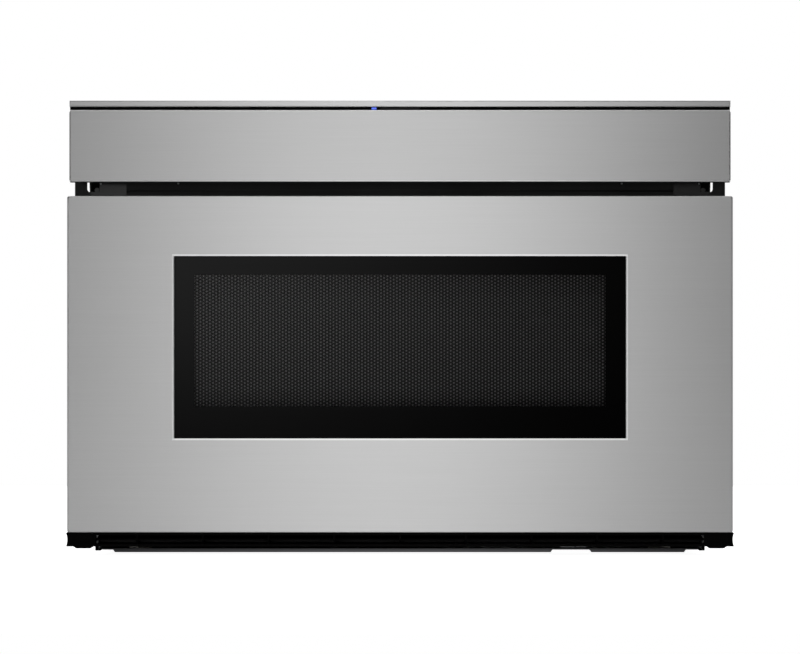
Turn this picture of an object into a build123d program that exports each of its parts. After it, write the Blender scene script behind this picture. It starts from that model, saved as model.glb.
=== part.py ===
from build123d import *
from math import atan2, cos, pi, radians, sin, sqrt, tan
import os

# A built-in microwave drawer: a fixed chassis behind a front frame, an oven drawer that a rack and
# pinion drives out on telescopic slides, and a concealed control panel that rocks forward on two pins.
# Millimetres. X is to the right, Y to the rear, Z up. The origin is at the middle of the footprint.

# ---- Front, as it is seen ----
overall_depth = 625.0
door_width = 606.4
door_height = 306.4
door_depth = 34.0
door_edge_bevel = 2.3
door_skin_return = 22.0
skin_sheet = 1.0
window_width = 411.5
window_height = 166.1
window_above_door_bottom = 85.6
window_corner = 2.5
window_bevel = 2.0
window_lip = 1.5
window_seat = 6.0
glass_thickness = 4.0
mesh_width = 375.0
mesh_height = 120.0
mesh_above_door_bottom = 114.7
door_under_gap = 0.5
finger_gap = 12.7
panel_inset = 2.7
panel_height = 65.6
panel_slot = 3.0
trim_overhang = 0.5
trim_height = 5.6
trim_set_back = 0.5
trim_groove = 0.5

# ---- Intake moulding under the door ----
vent_bottom = 7.8
vent_height = 12.3
vent_overhang = 1.0
vent_set_back = 1.0
vent_end_block = 27.0
vent_end_hollow = 1.1
vent_shelf = 2.0
vent_back = 3.0
vent_block_set_back = 0.6
vent_lug_from_end = 6.0
vent_lug_length = 19.0
vent_lug_slope = 3.0
vent_lug_drop = 2.0
vent_lug_depth = 18.0
vent_lug_set_back = 4.0
vent_hook_width = 5.0
vent_hook_drop = 4.2
vent_hook_stem = 2.4
vent_hook_toe = 1.6
vent_hook_depth = 12.0
vent_hook_set_back = 8.0
vent_blade_sheet = 1.2
vent_blade_rise = 2.0
vent_blade_set_back = 6.0
vent_rib_pitch = 60.0
vent_rib_sheet = 1.6
vent_rib_count = 9

# ---- Sheets and running clearances ----
case_sheet = 1.0
frame_sheet = 1.5
bracket_sheet = 1.5
cavity_sheet = 1.0
tub_sheet = 1.2
pan_sheet = 1.2
light_sheet = 1.2
mesh_sheet = 0.8
circuit_sheet = 1.6
moulding_wall = 2.5
rib_sheet = 2.0
running_gap = 0.3
snap_gap = 0.2
shaft_fit = 0.05
door_to_frame_gap = 2.5
past = 1.0

# ---- Body behind the front frame ----
frame_inset = 7.2
frame_overlap = 18.3
frame_bottom = 8.0
frame_corner = 3.0
frame_top_strip = 6.3
frame_side_strip = 10.4
slit = 2.1
slit_corner = 3.0
body_below_frame_top = 34.5
pan_drop = 2.8
pan_slope_width = 1.8
pan_margin = 8.0
left_pan_margin = 14.7
left_pan_to = 138.9
right_pan_from = 176.6
right_pan_margin = 15.7
case_corner = 4.0
rear_bulge = 8.0
bulge_margin = 16.0
bulge_corner = 10.0
base_slot_count = 9
base_slot_pitch = 50.0
base_slot_length = 30.0
base_slot_width = 6.0
base_slot_from_rear = 24.0
case_slot_count = 6
case_slot_pitch = 16.0
case_slot_width = 5.0
case_slot_height = 60.0
case_slot_rows = 2
case_slot_row_pitch = 90.0
case_slot_low = 120.0
case_slot_from_rear = 120.0
outlet_count = 8
outlet_x = 60.0
outlet_pitch = 22.0
outlet_width = 12.0
outlet_low = 60.0
outlet_height = 40.0
fan_slot_pitch = 13.0
fan_slot_height = 6.0
intake_pitch = 46.0
intake_length = 36.0
intake_count = 11
intake_above_vent = 4.0
intake_below_vent = 3.0
mount_from_edge = 4.2
mount_low_z = 60.0
mount_spacing_z = 240.0
mount_hole = 2.25

# ---- Oven ----
cavity_width = 440.0
cavity_depth = 417.0
mouth_above_door_bottom = 74.4
mouth_below_door_top = 52.0
cavity_corner = 8.0
cavity_flange = 12.0
dome_size = 200.0
dome_rise = 16.0
feed_width = 76.0
feed_length = 60.0
lamp_share = 0.62
lamp_below_ceiling = 50.0
lamp_hole = 6.0
lamp_hole_pitch = 11.0
lamp_hole_columns = 6
lamp_hole_rows = 3
tub_side_gap = 3.0
tub_floor_gap = 2.5
tub_rear_gap = 9.0
tub_head_room = 27.5
tub_corner = 14.0
tub_hem = 4.0
tub_rib_pitch = 70.0
tub_rib_width = 28.0
tub_rib_drop = 0.8
tub_rib_inset = 60.0
tub_rib_count = 5
tray_thickness = 5.0
tray_edge_gap = 1.5
tray_chamfer = 0.8
portal_width = 300.0
portal_depth = 40.0
portal_foot = 20.0
portal_share = 0.42
portal_from_rear = 50.0

# ---- Slides and drive ----
drawer_travel = 381.0
slide_overlap = 29.0
slide_middle_short = 30.0
slide_height = 35.0
slide_thickness = 13.0
slide_sheet = 1.5
slide_inner_sheet = 1.2
slide_centre_height = 64.5
slide_wall_gap = 0.5
slide_start_gap = 1.0
slide_web_gap = 0.7
slide_lip_gap = 2.5
slide_middle_lip_gap = 2.2
slide_inner_lip = 7.5
ball_room = 2.4
ball_strip = 4.0
ball_strip_shift = 0.6
slide_plate_length = 70.0
slide_plate_foot = 22.0
slide_plate_from_front = 40.0
slide_plate_from_rear = 110.0
slide_slot_side_gap = 3.0
slide_slot_outer_gap = 1.0
slide_slot_low_gap = 5.0
slide_slot_high_gap = 2.0
gear_pressure_angle = 20.0
pinion_teeth = 16
pinion_module = 1.5
pinion_behind_frame = 20.0
pinion_width = 8.0
rack_width = 9.0
rack_height = 11.0
rack_below_centre = 2.5
rack_addendum = 0.8
rack_dedendum = 1.3
gear_dedendum = 1.25
rack_plain_end = 3.0
tooth_slack = 0.18
shaft_radius = 4.0
shaft_past_pinion = 1.0
bearing_width = 8.0
bearing_radius = 9.0
bearing_gap = 3.0
bearing_toe = 12.0
bearing_foot = 3.0
drive_gear_teeth = 30
motor_gear_teeth = 12
drive_module = 1.0
drive_gear_width = 7.0
drive_gear_x = 139.5
drive_hub_length = 9.0
drive_hub_wall = 4.0
motor_stand_off = 6.0
motor_radius = 15.0
motor_length = 58.0
motor_round = 2.0
motor_shaft_radius = 2.0
motor_boss_radius = 5.0
motor_boss_length = 4.0
motor_plate_margin = 3.0
motor_plate_hole_gap = 2.0
motor_plate_foot = 24.0

# ---- Control panel ----
panel_pivot_depth = 25.0
panel_pivot_height = 28.0
panel_travel = 45.0
panel_rear_gap = 3.0
panel_swing_gap = 0.8
panel_side_gap = 2.1
panel_skin_return = 7.0
panel_skin_corner = 1.0
panel_skin_lift = 0.5
panel_skin_set_back = 0.4
panel_rim_reach = 0.6
panel_rim_depth = 2.5
panel_rim_corner = 1.5
panel_frame_drop = 0.4
panel_wall = 4.0
panel_end_wall = 5.0
panel_well_depth = 4.0
panel_well_front = 8.0
panel_well_rear = 2.0
panel_glass_ledge = 2.0
panel_glass_rear = 1.0
panel_floor_wall = 2.0
panel_pin_radius = 3.0
panel_pin_depth = 6.0
panel_pin_head = 1.0
touch_glass_thickness = 2.0
touch_glass_gap = 0.1
touch_board_inset = 30.0
touch_board_gap = 1.0
touch_spring_pitch = 44.0
touch_spring_radius = 6.0
touch_spring_count = 11
housing_below_panel = 5.9
housing_corner = 2.0
housing_slot_count = 5
housing_slot_pitch = 90.0
housing_slot_length = 50.0
housing_slot_width = 4.0
housing_slot_above = 42.0
hinge_side_gap = 1.0
hinge_flange_width = 33.1
hinge_flange_corner = 1.0
hinge_below_panel = 11.2
hinge_above_panel = 38.3
hinge_arm_half = 15.0
hinge_arm_radius = 9.0
hinge_arm_nose = 8.2
rivet_radius = 2.2
rivet_height = 0.9
rivet_from_side = 6.0
rivet_from_low = 5.0
sensor_bar_height = 2.2
sensor_bar_depth = 9.0
sensor_bar_set_back = 3.0
sensor_roof = 0.6
sensor_window_width = 36.0
sensor_window_depth = 1.0
light_x = -23.7
light_width = 4.5
light_depth = 4.0
light_proud = 0.4

# ---- Inside the door ----
pan_return = 16.0
pan_edge_gap = 5.0
pan_corner = 4.0
choke_width = 22.0
choke_margin = 2.0
choke_corner = 4.0
choke_cover_sheet = 2.2
mouth_margin = 3.0
view_margin = 3.0
view_corner = 4.0
mesh_edge = 12.0
inner_pane_thickness = 2.0
pane_margin = 2.0
pane_corner = 3.0
door_boss_wall = 2.2
door_rib_from_side = 53.2
door_rib_from_view = 24.5
door_rib_pitch = 80.0
door_rib_count = 5
door_screw_from_side = 18.2
door_screw_pitch = 140.0
door_screw_above_bottom = 20.0
door_screw_below_top = 14.0
door_bracket_height = 19.0
door_bracket_flange = 12.0
door_bracket_reach = 50.0
screw_head_radius = 3.5
screw_head_height = 1.6
screw_radius = 1.7
screw_length = 6.0
rear_screw_from_edge = 12.0
rear_screw_left = -60.0
rear_screw_right = 90.0

# ---- Interlock ----
prong_spacing = 410.0
prong_width = 8.0
prong_height = 4.0
prong_below_door_top = 25.0
prong_chamfer = 1.2
prong_root_width = 16.0
prong_root_height = 16.0
prong_root_sheet = 1.6
prong_slot_gap = 2.0
plunger_travel = 1.5
plunger_reach = 9.0
plunger_width = 4.6
plunger_height = 3.6
plunger_length = 7.5
plunger_round = 1.0
switch_width = 10.0
switch_height = 20.0
switch_depth = 16.0
switch_set_back = 1.2
switch_bore_depth = 8.0
switch_tab_pitch = 6.0
switch_tab_width = 2.0
switch_tab_sheet = 0.8
switch_bracket_height = 24.0
switch_bracket_foot = 16.0
switch_bracket_reach = 20.0

# ---- Microwave supply ----
guide_width = 90.0
guide_height = 34.0
guide_wall = 1.2
guide_ahead_of_feed = 70.0
guide_past_magnetron = 40.0
guide_flange = 10.0
guide_flange_rear = 90.0
antenna_radius = 9.0
antenna_gap = 3.0
antenna_reach = 26.0
magnetron_width = 84.0
magnetron_depth = 72.0
magnetron_height = 76.0
magnetron_yoke = 2.0
anode_radius = 17.0
magnet_radius = 27.0
magnet_height = 14.0
fin_count = 7
fin_pitch = 6.0
fin_sheet = 0.8
fin_below_top = 55.0
filter_width = 56.0
filter_depth = 48.0
filter_height = 25.0
stirrer_motor_radius = 24.0
stirrer_motor_height = 16.0
stirrer_motor_tab = 64.0
stirrer_motor_tab_width = 14.0
stirrer_socket = 8.0
stirrer_shaft_radius = 3.0
stirrer_hole_gap = 2.0
stirrer_hub_radius = 9.0
stirrer_hub_height = 8.0
stirrer_above_ceiling = 6.0
stirrer_arm_root = 5.0
stirrer_arm_reach = 78.0
stirrer_arm_width = 26.0
stirrer_arm_slot_from = 22.0
stirrer_arm_slot_to = 48.0
stirrer_arm_slot_width = 10.0
stirrer_tip_length = 16.0
stirrer_tip_angle = 35.0
stirrer_arm_count = 4
stirrer_cover_margin = 12.0
stirrer_cover_sheet = 1.6
stirrer_cover_corner = 8.0
transformer_x = 160.0
core_width = 90.0
core_depth = 56.0
core_height = 76.0
core_middle_limb = 30.0
core_window_width = 12.0
core_window_low = 16.0
core_window_high = 60.0
transformer_foot_width = 110.0
transformer_foot_depth = 68.0
transformer_foot_sheet = 2.0
transformer_foot_hole = 2.5
transformer_hole_from_side = 5.0
transformer_hole_from_end = 7.0
coil_low_depth = 84.0
coil_high_depth = 80.0
coil_low_height = 20.5
coil_split = 3.0
coil_fit = 0.5
coil_corner = 8.0
capacitor_x = 60.0
capacitor_width = 54.0
capacitor_depth = 32.0
capacitor_height = 72.0
strap_sheet = 1.5
strap_low = 30.0
strap_height = 12.0
strap_foot = 11.0
capacitor_post_radius = 5.0
capacitor_post_height = 8.0
capacitor_post_spacing = 22.0
capacitor_tab_width = 6.0
capacitor_tab_height = 10.0

# ---- Cooling and electrics ----
fan_x = -150.0
fan_z = 235.0
fan_opening = 62.0
fan_tip_gap = 1.5
fan_shroud_half = 70.0
fan_shroud_depth = 26.0
fan_shroud_corner = 8.0
fan_shroud_wall = 2.0
fan_strut = 3.0
fan_motor_radius = 21.0
fan_motor_length = 38.0
fan_motor_step = 6.0
fan_motor_round = 3.0
fan_hub_radius = 17.0
fan_hub_length = 16.5
fan_hub_round = 4.0
fan_hub_gap = 1.5
fan_spindle_radius = 2.0
fan_socket = 10.0
fan_blade_count = 7
fan_blade_root_chord = 19.0
fan_blade_tip_chord = 30.0
fan_blade_root_angle = 50.0
fan_blade_tip_angle = 28.0
fan_blade_sheet = 1.6
duct_height = 66.0
duct_wall = 2.0
duct_below_yoke_top = 72.0
duct_oven_gap = 12.0
duct_fan_gap = 8.0
duct_shoulder_x = -80.0
duct_past_fan = 10.0
board_width = 150.0
board_length = 210.0
board_side_gap = 14.7
board_from_front = 40.0
board_lift = 14.0
board_pillar_inset = 8.0
board_pillar_radius = 3.5
relay_width = 20.0
relay_depth = 30.0
relay_height = 18.0
relay_pitch = 30.0
coil_block_size = 40.0
coil_block_height = 34.0
component_margin = 20.0
can_radius = 8.0
can_height = 20.0
can_pitch = 26.0
can_row = 95.0
heat_sink_length = 46.0
heat_sink_height = 26.0
heat_sink_sheet = 6.0
heat_sink_row = 130.0
plug_row_length = 100.0
plug_row_depth = 10.0
plug_row_height = 12.0
lamp_holder_length = 48.0
lamp_holder_height = 36.0
lamp_holder_depth = 4.0
lamp_window_length = 32.0
lamp_window_height = 22.0
lamp_radius = 11.0
lamp_reach_share = 0.61
cutout_x = -150.0
cutout_from_front = 120.0
cutout_radius = 9.0
cutout_height = 9.0
cutout_tab_length = 32.0
cutout_tab_width = 8.0
cutout_terminal_spacing = 8.0
cutout_terminal_width = 6.0
cutout_terminal_height = 7.0
cord_x = 215.0
cord_z = 325.0
cord_hole = 4.2
bushing_radius = 9.0
bushing_flange = 3.0
bushing_inside = 8.0
bushing_outside = 5.0

# ---- Levels and planes that follow ----
panel_width = door_width - 2 * panel_inset
trim_width = panel_width + 2 * trim_overhang
vent_width = door_width + 2 * vent_overhang
frame_width = door_width - 2 * frame_inset
body_width = frame_width - 2 * frame_overlap
front = -overall_depth / 2
rear = overall_depth / 2
frame_front = front + door_depth + door_to_frame_gap
body_front = frame_front + frame_sheet
rear_plate = rear - rear_bulge
door_back = front + door_depth
frame_half = frame_width / 2
body_half = body_width / 2
case_inside = body_half - case_sheet
base_top = pan_drop + case_sheet
pans = ((-body_half + left_pan_margin, left_pan_to), (right_pan_from, body_half - right_pan_margin))
vent_top = vent_bottom + vent_height
vent_nose = front + vent_set_back
door_bottom = vent_top + door_under_gap
door_top = door_bottom + door_height
panel_bottom = door_top + finger_gap
panel_top = panel_bottom + panel_height
glass_front = front + panel_skin_set_back + panel_skin_return + touch_glass_gap
trim_bottom = panel_top + panel_slot
trim_top = trim_bottom + trim_height
frame_top = trim_bottom
opening_top = frame_top - frame_top_strip
body_top = frame_top - body_below_frame_top
housing_half = frame_half - frame_side_strip
housing_bottom = panel_bottom - housing_below_panel
hinge_arm_out = housing_half - hinge_side_gap
hinge_arm_in = hinge_arm_out - bracket_sheet
hinge_flange_in = hinge_arm_out - hinge_flange_width
hinge_low = panel_bottom - hinge_below_panel
hinge_high = panel_bottom + hinge_above_panel
panel_half = hinge_arm_in - panel_side_gap
panel_rest_y = frame_front - panel_rear_gap
panel_pivot_y = front + panel_pivot_depth
panel_pivot_z = panel_bottom + panel_pivot_height
panel_well_low = panel_top - touch_glass_thickness - panel_well_depth
window_bottom = door_bottom + window_above_door_bottom
window_top = window_bottom + window_height
mesh_bottom = door_bottom + mesh_above_door_bottom
mesh_top = mesh_bottom + mesh_height
view_half = mesh_width / 2 + view_margin
view_low = mesh_bottom - view_margin
view_high = mesh_top + view_margin
cavity_floor = door_bottom + mouth_above_door_bottom
cavity_ceiling = door_top - mouth_below_door_top
cavity_half = cavity_width / 2
cavity_rear = body_front + cavity_depth
cavity_roof = cavity_ceiling + cavity_sheet
tub_half = cavity_half - tub_side_gap
tub_floor = cavity_floor + tub_floor_gap
tub_top = cavity_ceiling - tub_head_room
tub_rear = cavity_rear - tub_rear_gap
tray_top = tub_floor + tub_sheet + tray_thickness
dome_top = cavity_ceiling + dome_rise
dome_roof = dome_top + cavity_sheet
dome_y = body_front + cavity_depth / 2
guide_top = dome_roof + guide_height
bay_middle = (cavity_rear + rear_plate) / 2
guide_rear = bay_middle + guide_past_magnetron
slide_length = drawer_travel + slide_overlap
slide_outside = case_inside - slide_wall_gap - bracket_sheet
slide_inside = slide_outside - slide_thickness
slide_front = body_front + slide_start_gap
slide_rear = slide_front + slide_length
slide_high = slide_centre_height + slide_height / 2
rack_inside = slide_inside - rack_width
rack_top = slide_centre_height - rack_below_centre
rack_pitch_z = rack_top - rack_height + rack_addendum * pinion_module
pinion_radius = pinion_module * pinion_teeth / 2
pinion_y = body_front + pinion_behind_frame
pinion_z = rack_pitch_z - pinion_radius
motor_y = pinion_y + drive_module * (drive_gear_teeth + motor_gear_teeth) / 2
motor_face = drive_gear_x + drive_gear_width / 2 + motor_stand_off
lamp_y = body_front + cavity_depth * lamp_share
lamp_z = cavity_ceiling - lamp_below_ceiling
plunger_tip = body_front + plunger_reach
prong_x = (-prong_spacing / 2, prong_spacing / 2)
prong_z = door_top - prong_below_door_top
fan_front = rear_plate - fan_shroud_depth
fan_motor_rear = fan_front + fan_motor_step
door_screw_side = door_width / 2 - door_screw_from_side
door_screw_places = [
    (x, z)
    for x in (-door_screw_side, -door_screw_pitch, 0, door_screw_pitch, door_screw_side)
    for z in (door_bottom + door_screw_above_bottom, door_top - door_screw_below_top)
]
rear_screw_side = body_half - rear_screw_from_edge
rear_screw_places = [
    (x, z)
    for x in (-rear_screw_side, rear_screw_left, rear_screw_right, rear_screw_side)
    for z in (base_top + rear_screw_from_edge, body_top - rear_screw_from_edge)
]


# ---- Shapes used again and again ----
def slab(x_low, x_high, y_low, y_high, z_low, z_high):
    """A rectangular piece between two opposite corners."""
    middle = Pos((x_low + x_high) / 2, (y_low + y_high) / 2, (z_low + z_high) / 2)
    return middle * Box(x_high - x_low, y_high - y_low, z_high - z_low)


def rod_across(x_low, x_high, y, z, radius):
    return Pos((x_low + x_high) / 2, y, z) * Rot(0, 90, 0) * Cylinder(radius, x_high - x_low)


def rod_back(x, y_low, y_high, z, radius):
    return Pos(x, (y_low + y_high) / 2, z) * Rot(90, 0, 0) * Cylinder(radius, y_high - y_low)


def rod_up(x, y, z_low, z_high, radius):
    return Pos(x, y, (z_low + z_high) / 2) * Cylinder(radius, z_high - z_low)


def frame_outline(x_low, x_high, z_low, z_high, corner=0):
    """A rectangle in an upright sketch, with round corners where a radius is given."""
    middle = Pos((x_low + x_high) / 2, (z_low + z_high) / 2)
    width = x_high - x_low
    height = z_high - z_low
    return middle * (RectangleRounded(width, height, corner) if corner else Rectangle(width, height))


def to_rear(outline, start, length):
    """Extrude an outline drawn in X and Z from the plane y = start towards the rear."""
    return Pos(0, start, 0) * extrude(Plane.XZ * outline, amount=-length)


def to_right(outline, start, length):
    """Extrude an outline drawn in Y and Z from the plane x = start towards the right."""
    return Pos(start, 0, 0) * extrude(Plane.YZ * outline, amount=length)


def both_sides(shape):
    """The piece and its mirror image on the other side of the middle."""
    return [shape, mirror(shape, about=Plane.YZ)]


def in_row(count, pitch):
    """Places in a row about zero, one pitch apart."""
    return [(step - (count - 1) / 2) * pitch for step in range(count)]


def floor_under(x_low, x_high):
    """The upper face of the base plate below a foot: down in a pan, or up on the flat beside it."""
    in_pan = [low <= x_low and x_high <= high for low, high in pans]
    return case_sheet if any(in_pan) else base_top


def polygon(*corners):
    return make_face(Polyline(*corners, close=True))


def rear_screw(x, y, z):
    """A pan head screw put in from the rear, its head seated on the plane of y."""
    head = rod_back(x, y, y + screw_head_height, z, screw_head_radius)
    head = chamfer(head.edges().group_by(Axis.Y)[-1], screw_head_height / 3)
    return head + rod_back(x, y - screw_length, y, z, screw_radius)


def screw_holes(places, y_low, y_high):
    """The clearance holes for a set of screws, to be cut from what they pass through."""
    return [rod_back(x, y_low, y_high, z, screw_radius) for x, z in places]


# ---- Chassis sheets ----
def base_plate():
    """The bottom sheet, with two pans pressed down that the body rests on."""
    plate = slab(-body_half, body_half, body_front, rear_plate, pan_drop, base_top)
    length = rear_plate - body_front - 2 * pan_margin
    middle_y = (rear_plate + body_front) / 2
    for low, high in pans:
        place = Pos((low + high) / 2, middle_y)
        foot = place * Rectangle(high - low, length)
        rim = Pos(0, 0, pan_drop) * place * Rectangle(
            high - low + 2 * pan_slope_width, length + 2 * pan_slope_width
        )
        pan = loft([foot, rim])
        plate = plate + pan - Pos(0, 0, case_sheet) * pan
    slot_y = rear_plate - base_slot_from_rear
    for x in in_row(base_slot_count, base_slot_pitch):
        half = base_slot_length / 2
        plate -= slab(x - half, x + half, slot_y, slot_y + base_slot_width, -past, base_top + past)
    return [plate]


def outer_case():
    """The wrapper round both sides and the top, open below, with louvre slots at the rear."""
    below = base_top - 2 * case_corner
    outside = frame_outline(-body_half, body_half, below, body_top, case_corner)
    inside = frame_outline(-case_inside, case_inside, below, body_top - case_sheet, case_corner - case_sheet)
    wrapper = to_rear(outside - inside, body_front, rear_plate - body_front)
    wrapper -= slab(-body_half - past, body_half + past, body_front - past, rear, below - past, base_top)
    for row in range(case_slot_rows):
        for step in range(case_slot_count):
            y = rear_plate - case_slot_from_rear + step * case_slot_pitch
            z = case_slot_low + row * case_slot_row_pitch
            wrapper -= slab(
                -body_half - past, body_half + past, y, y + case_slot_width, z, z + case_slot_height
            )
    return [wrapper]


def rear_cover():
    """The back sheet with a pressed bulge over the fan, its outlet slots and the cable hole."""
    sheet = slab(-body_half, body_half, rear_plate, rear_plate + case_sheet, pan_drop, body_top)
    half = fan_shroud_half + bulge_margin
    outline = frame_outline(fan_x - half, fan_x + half, fan_z - half, fan_z + half, bulge_corner)
    outer = to_rear(outline, rear_plate + case_sheet, rear_bulge - case_sheet)
    inner = to_rear(offset(outline, -case_sheet), rear_plate - past, rear_bulge - case_sheet + past)
    cover = sheet + outer - inner
    row_limit = int(fan_opening / fan_slot_pitch)
    for row in range(-row_limit, row_limit + 1):
        level = fan_z + row * fan_slot_pitch
        chord = sqrt(fan_opening**2 - (row * fan_slot_pitch) ** 2)
        low = level - fan_slot_height / 2
        cover -= slab(
            fan_x - chord, fan_x + chord, rear - case_sheet - past, rear + past, low, low + fan_slot_height
        )
    back = rear_plate + case_sheet + past
    for step in range(outlet_count):
        x = outlet_x + step * outlet_pitch
        cover -= slab(x, x + outlet_width, rear_plate - past, back, outlet_low, outlet_low + outlet_height)
    cover -= rod_back(cord_x, rear_plate - past, back, cord_z, bushing_radius)
    for hole in screw_holes(rear_screw_places, rear_plate - past, back):
        cover -= hole
    return [cover]


def front_frame():
    """The upright plate that overlaps the cabinet, with the oven mouth and the slide slots."""
    outline = frame_outline(-frame_half, frame_half, frame_bottom, frame_top, frame_corner)
    plate = to_rear(outline, frame_front, frame_sheet)
    cuts = frame_outline(-cavity_half, cavity_half, cavity_floor, cavity_ceiling, cavity_corner)
    upper = frame_outline(-housing_half - slit, housing_half + slit, housing_bottom - slit, opening_top)
    cuts += fillet(upper.vertices().group_by(Axis.Y)[0], slit_corner)
    slot_low = rack_pitch_z - slide_slot_low_gap
    slot_high = slide_high + slide_slot_high_gap
    slot_in = rack_inside - slide_slot_side_gap
    slot_out = slide_outside + slide_slot_outer_gap
    for side in (-1, 1):
        cuts += frame_outline(
            *sorted((side * slot_in, side * slot_out)), slot_low, slot_high, slide_slot_high_gap
        )
    prong_half = prong_width / 2 + prong_slot_gap
    prong_rise = prong_height / 2 + prong_slot_gap
    for x in prong_x:
        cuts += frame_outline(
            x - prong_half, x + prong_half, prong_z - prong_rise, prong_z + prong_rise, prong_slot_gap / 2
        )
    for side in (-1, 1):
        for z in (mount_low_z, mount_low_z + mount_spacing_z):
            cuts += Pos(side * (frame_half - mount_from_edge), z) * Circle(mount_hole)
    for x in in_row(intake_count, intake_pitch):
        cuts += frame_outline(
            x - intake_length / 2,
            x + intake_length / 2,
            vent_bottom + intake_above_vent,
            vent_top - intake_below_vent,
            1,
        )
    return [plate - to_rear(cuts, frame_front - past, frame_sheet + 2 * past)]


def oven_cavity():
    """The fixed steel oven box: open in front, with a raised dome for the stirrer."""
    inside = frame_outline(-cavity_half, cavity_half, cavity_floor, cavity_ceiling, cavity_corner)
    outside = offset(inside, cavity_sheet)
    flange = offset(outside, cavity_flange)
    box = to_rear(outside, body_front, cavity_depth + cavity_sheet)
    box += to_rear(flange, body_front, cavity_sheet)
    half = dome_size / 2
    over = half + cavity_sheet
    box += slab(-over, over, dome_y - over, dome_y + over, cavity_ceiling, dome_roof)
    box -= to_rear(inside, body_front - past, cavity_depth + past)
    box -= slab(-half, half, dome_y - half, dome_y + half, cavity_ceiling - dome_rise, dome_top)
    box -= slab(
        -feed_width / 2,
        feed_width / 2,
        dome_y - feed_length / 2,
        dome_y + feed_length / 2,
        dome_top - past,
        dome_roof + past,
    )
    reach = cavity_half + cavity_sheet + past
    for z in in_row(lamp_hole_rows, lamp_hole_pitch):
        for y in in_row(lamp_hole_columns, lamp_hole_pitch):
            hole = slab(
                cavity_half - past,
                reach,
                lamp_y + y - lamp_hole / 2,
                lamp_y + y + lamp_hole / 2,
                lamp_z + z - lamp_hole / 2,
                lamp_z + z + lamp_hole / 2,
            )
            for side in both_sides(hole):
                box -= side
    return [box]


def cavity_portals():
    """Two portal brackets that carry the oven box on the base plate."""
    top = cavity_floor - cavity_sheet
    leg = portal_width / 2
    beam = leg + bracket_sheet
    outline = frame_outline(-beam, beam, top - bracket_sheet, top)
    for side in (-1, 1):
        inner, wall, toe = (side * x for x in (leg, beam, leg + portal_foot))
        level = floor_under(*sorted((inner, toe)))
        outline += frame_outline(*sorted((inner, wall)), level, top)
        outline += frame_outline(*sorted((inner, toe)), level, level + bracket_sheet)
    places = (body_front + cavity_depth * portal_share, cavity_rear - portal_from_rear)
    return [to_rear(outline, place, portal_depth) for place in places]


# ---- Trims round the front ----
def top_trim():
    """The folded stainless strip over the panel: two hemmed edges, one above the other."""
    middle = (trim_bottom + trim_top) / 2
    hem = trim_height / 4
    nose = front + trim_set_back + hem
    outline = frame_outline(nose + trim_groove, body_front, trim_bottom, trim_top)
    for level in (middle - hem, middle + hem):
        outline += frame_outline(nose, nose + 2 * trim_groove, level - hem, level + hem)
        outline += Pos(nose, level) * Circle(hem)
    return [to_right(outline, -trim_width / 2, trim_width)]


def light_span(gap=0):
    return light_x - light_width / 2 - gap, light_x + light_width / 2 + gap


def sensor_bar():
    """The black bar under the top trim that holds the hand sensor and the status light."""
    low = trim_bottom - sensor_bar_height
    nose = front + sensor_bar_set_back
    bar = slab(-panel_half, panel_half, nose, nose + sensor_bar_depth, low, trim_bottom)
    roof = trim_bottom - sensor_roof
    bar -= slab(*light_span(touch_glass_gap), nose - past, nose + light_depth, low - past, roof)
    window = sensor_window_width / 2
    bar -= slab(-window, window, nose - past, nose + sensor_window_depth, low - past, roof)
    return [bar]


def status_light():
    nose = front + sensor_bar_set_back
    low = trim_bottom - sensor_bar_height
    lens = slab(*light_span(), nose - light_proud, nose + light_depth, low, trim_bottom - sensor_roof)
    return [fillet(lens.edges().group_by(Axis.Y)[0], light_proud / 2)]


def sensor_window():
    nose = front + sensor_bar_set_back
    low = trim_bottom - sensor_bar_height
    half = sensor_window_width / 2 - touch_glass_gap
    clear_of_light = light_x + light_width / 2 + running_gap
    return [
        slab(
            max(-half, clear_of_light),
            half,
            nose - light_proud / 2,
            nose + sensor_window_depth,
            low,
            trim_bottom - sensor_roof,
        )
    ]


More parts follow.
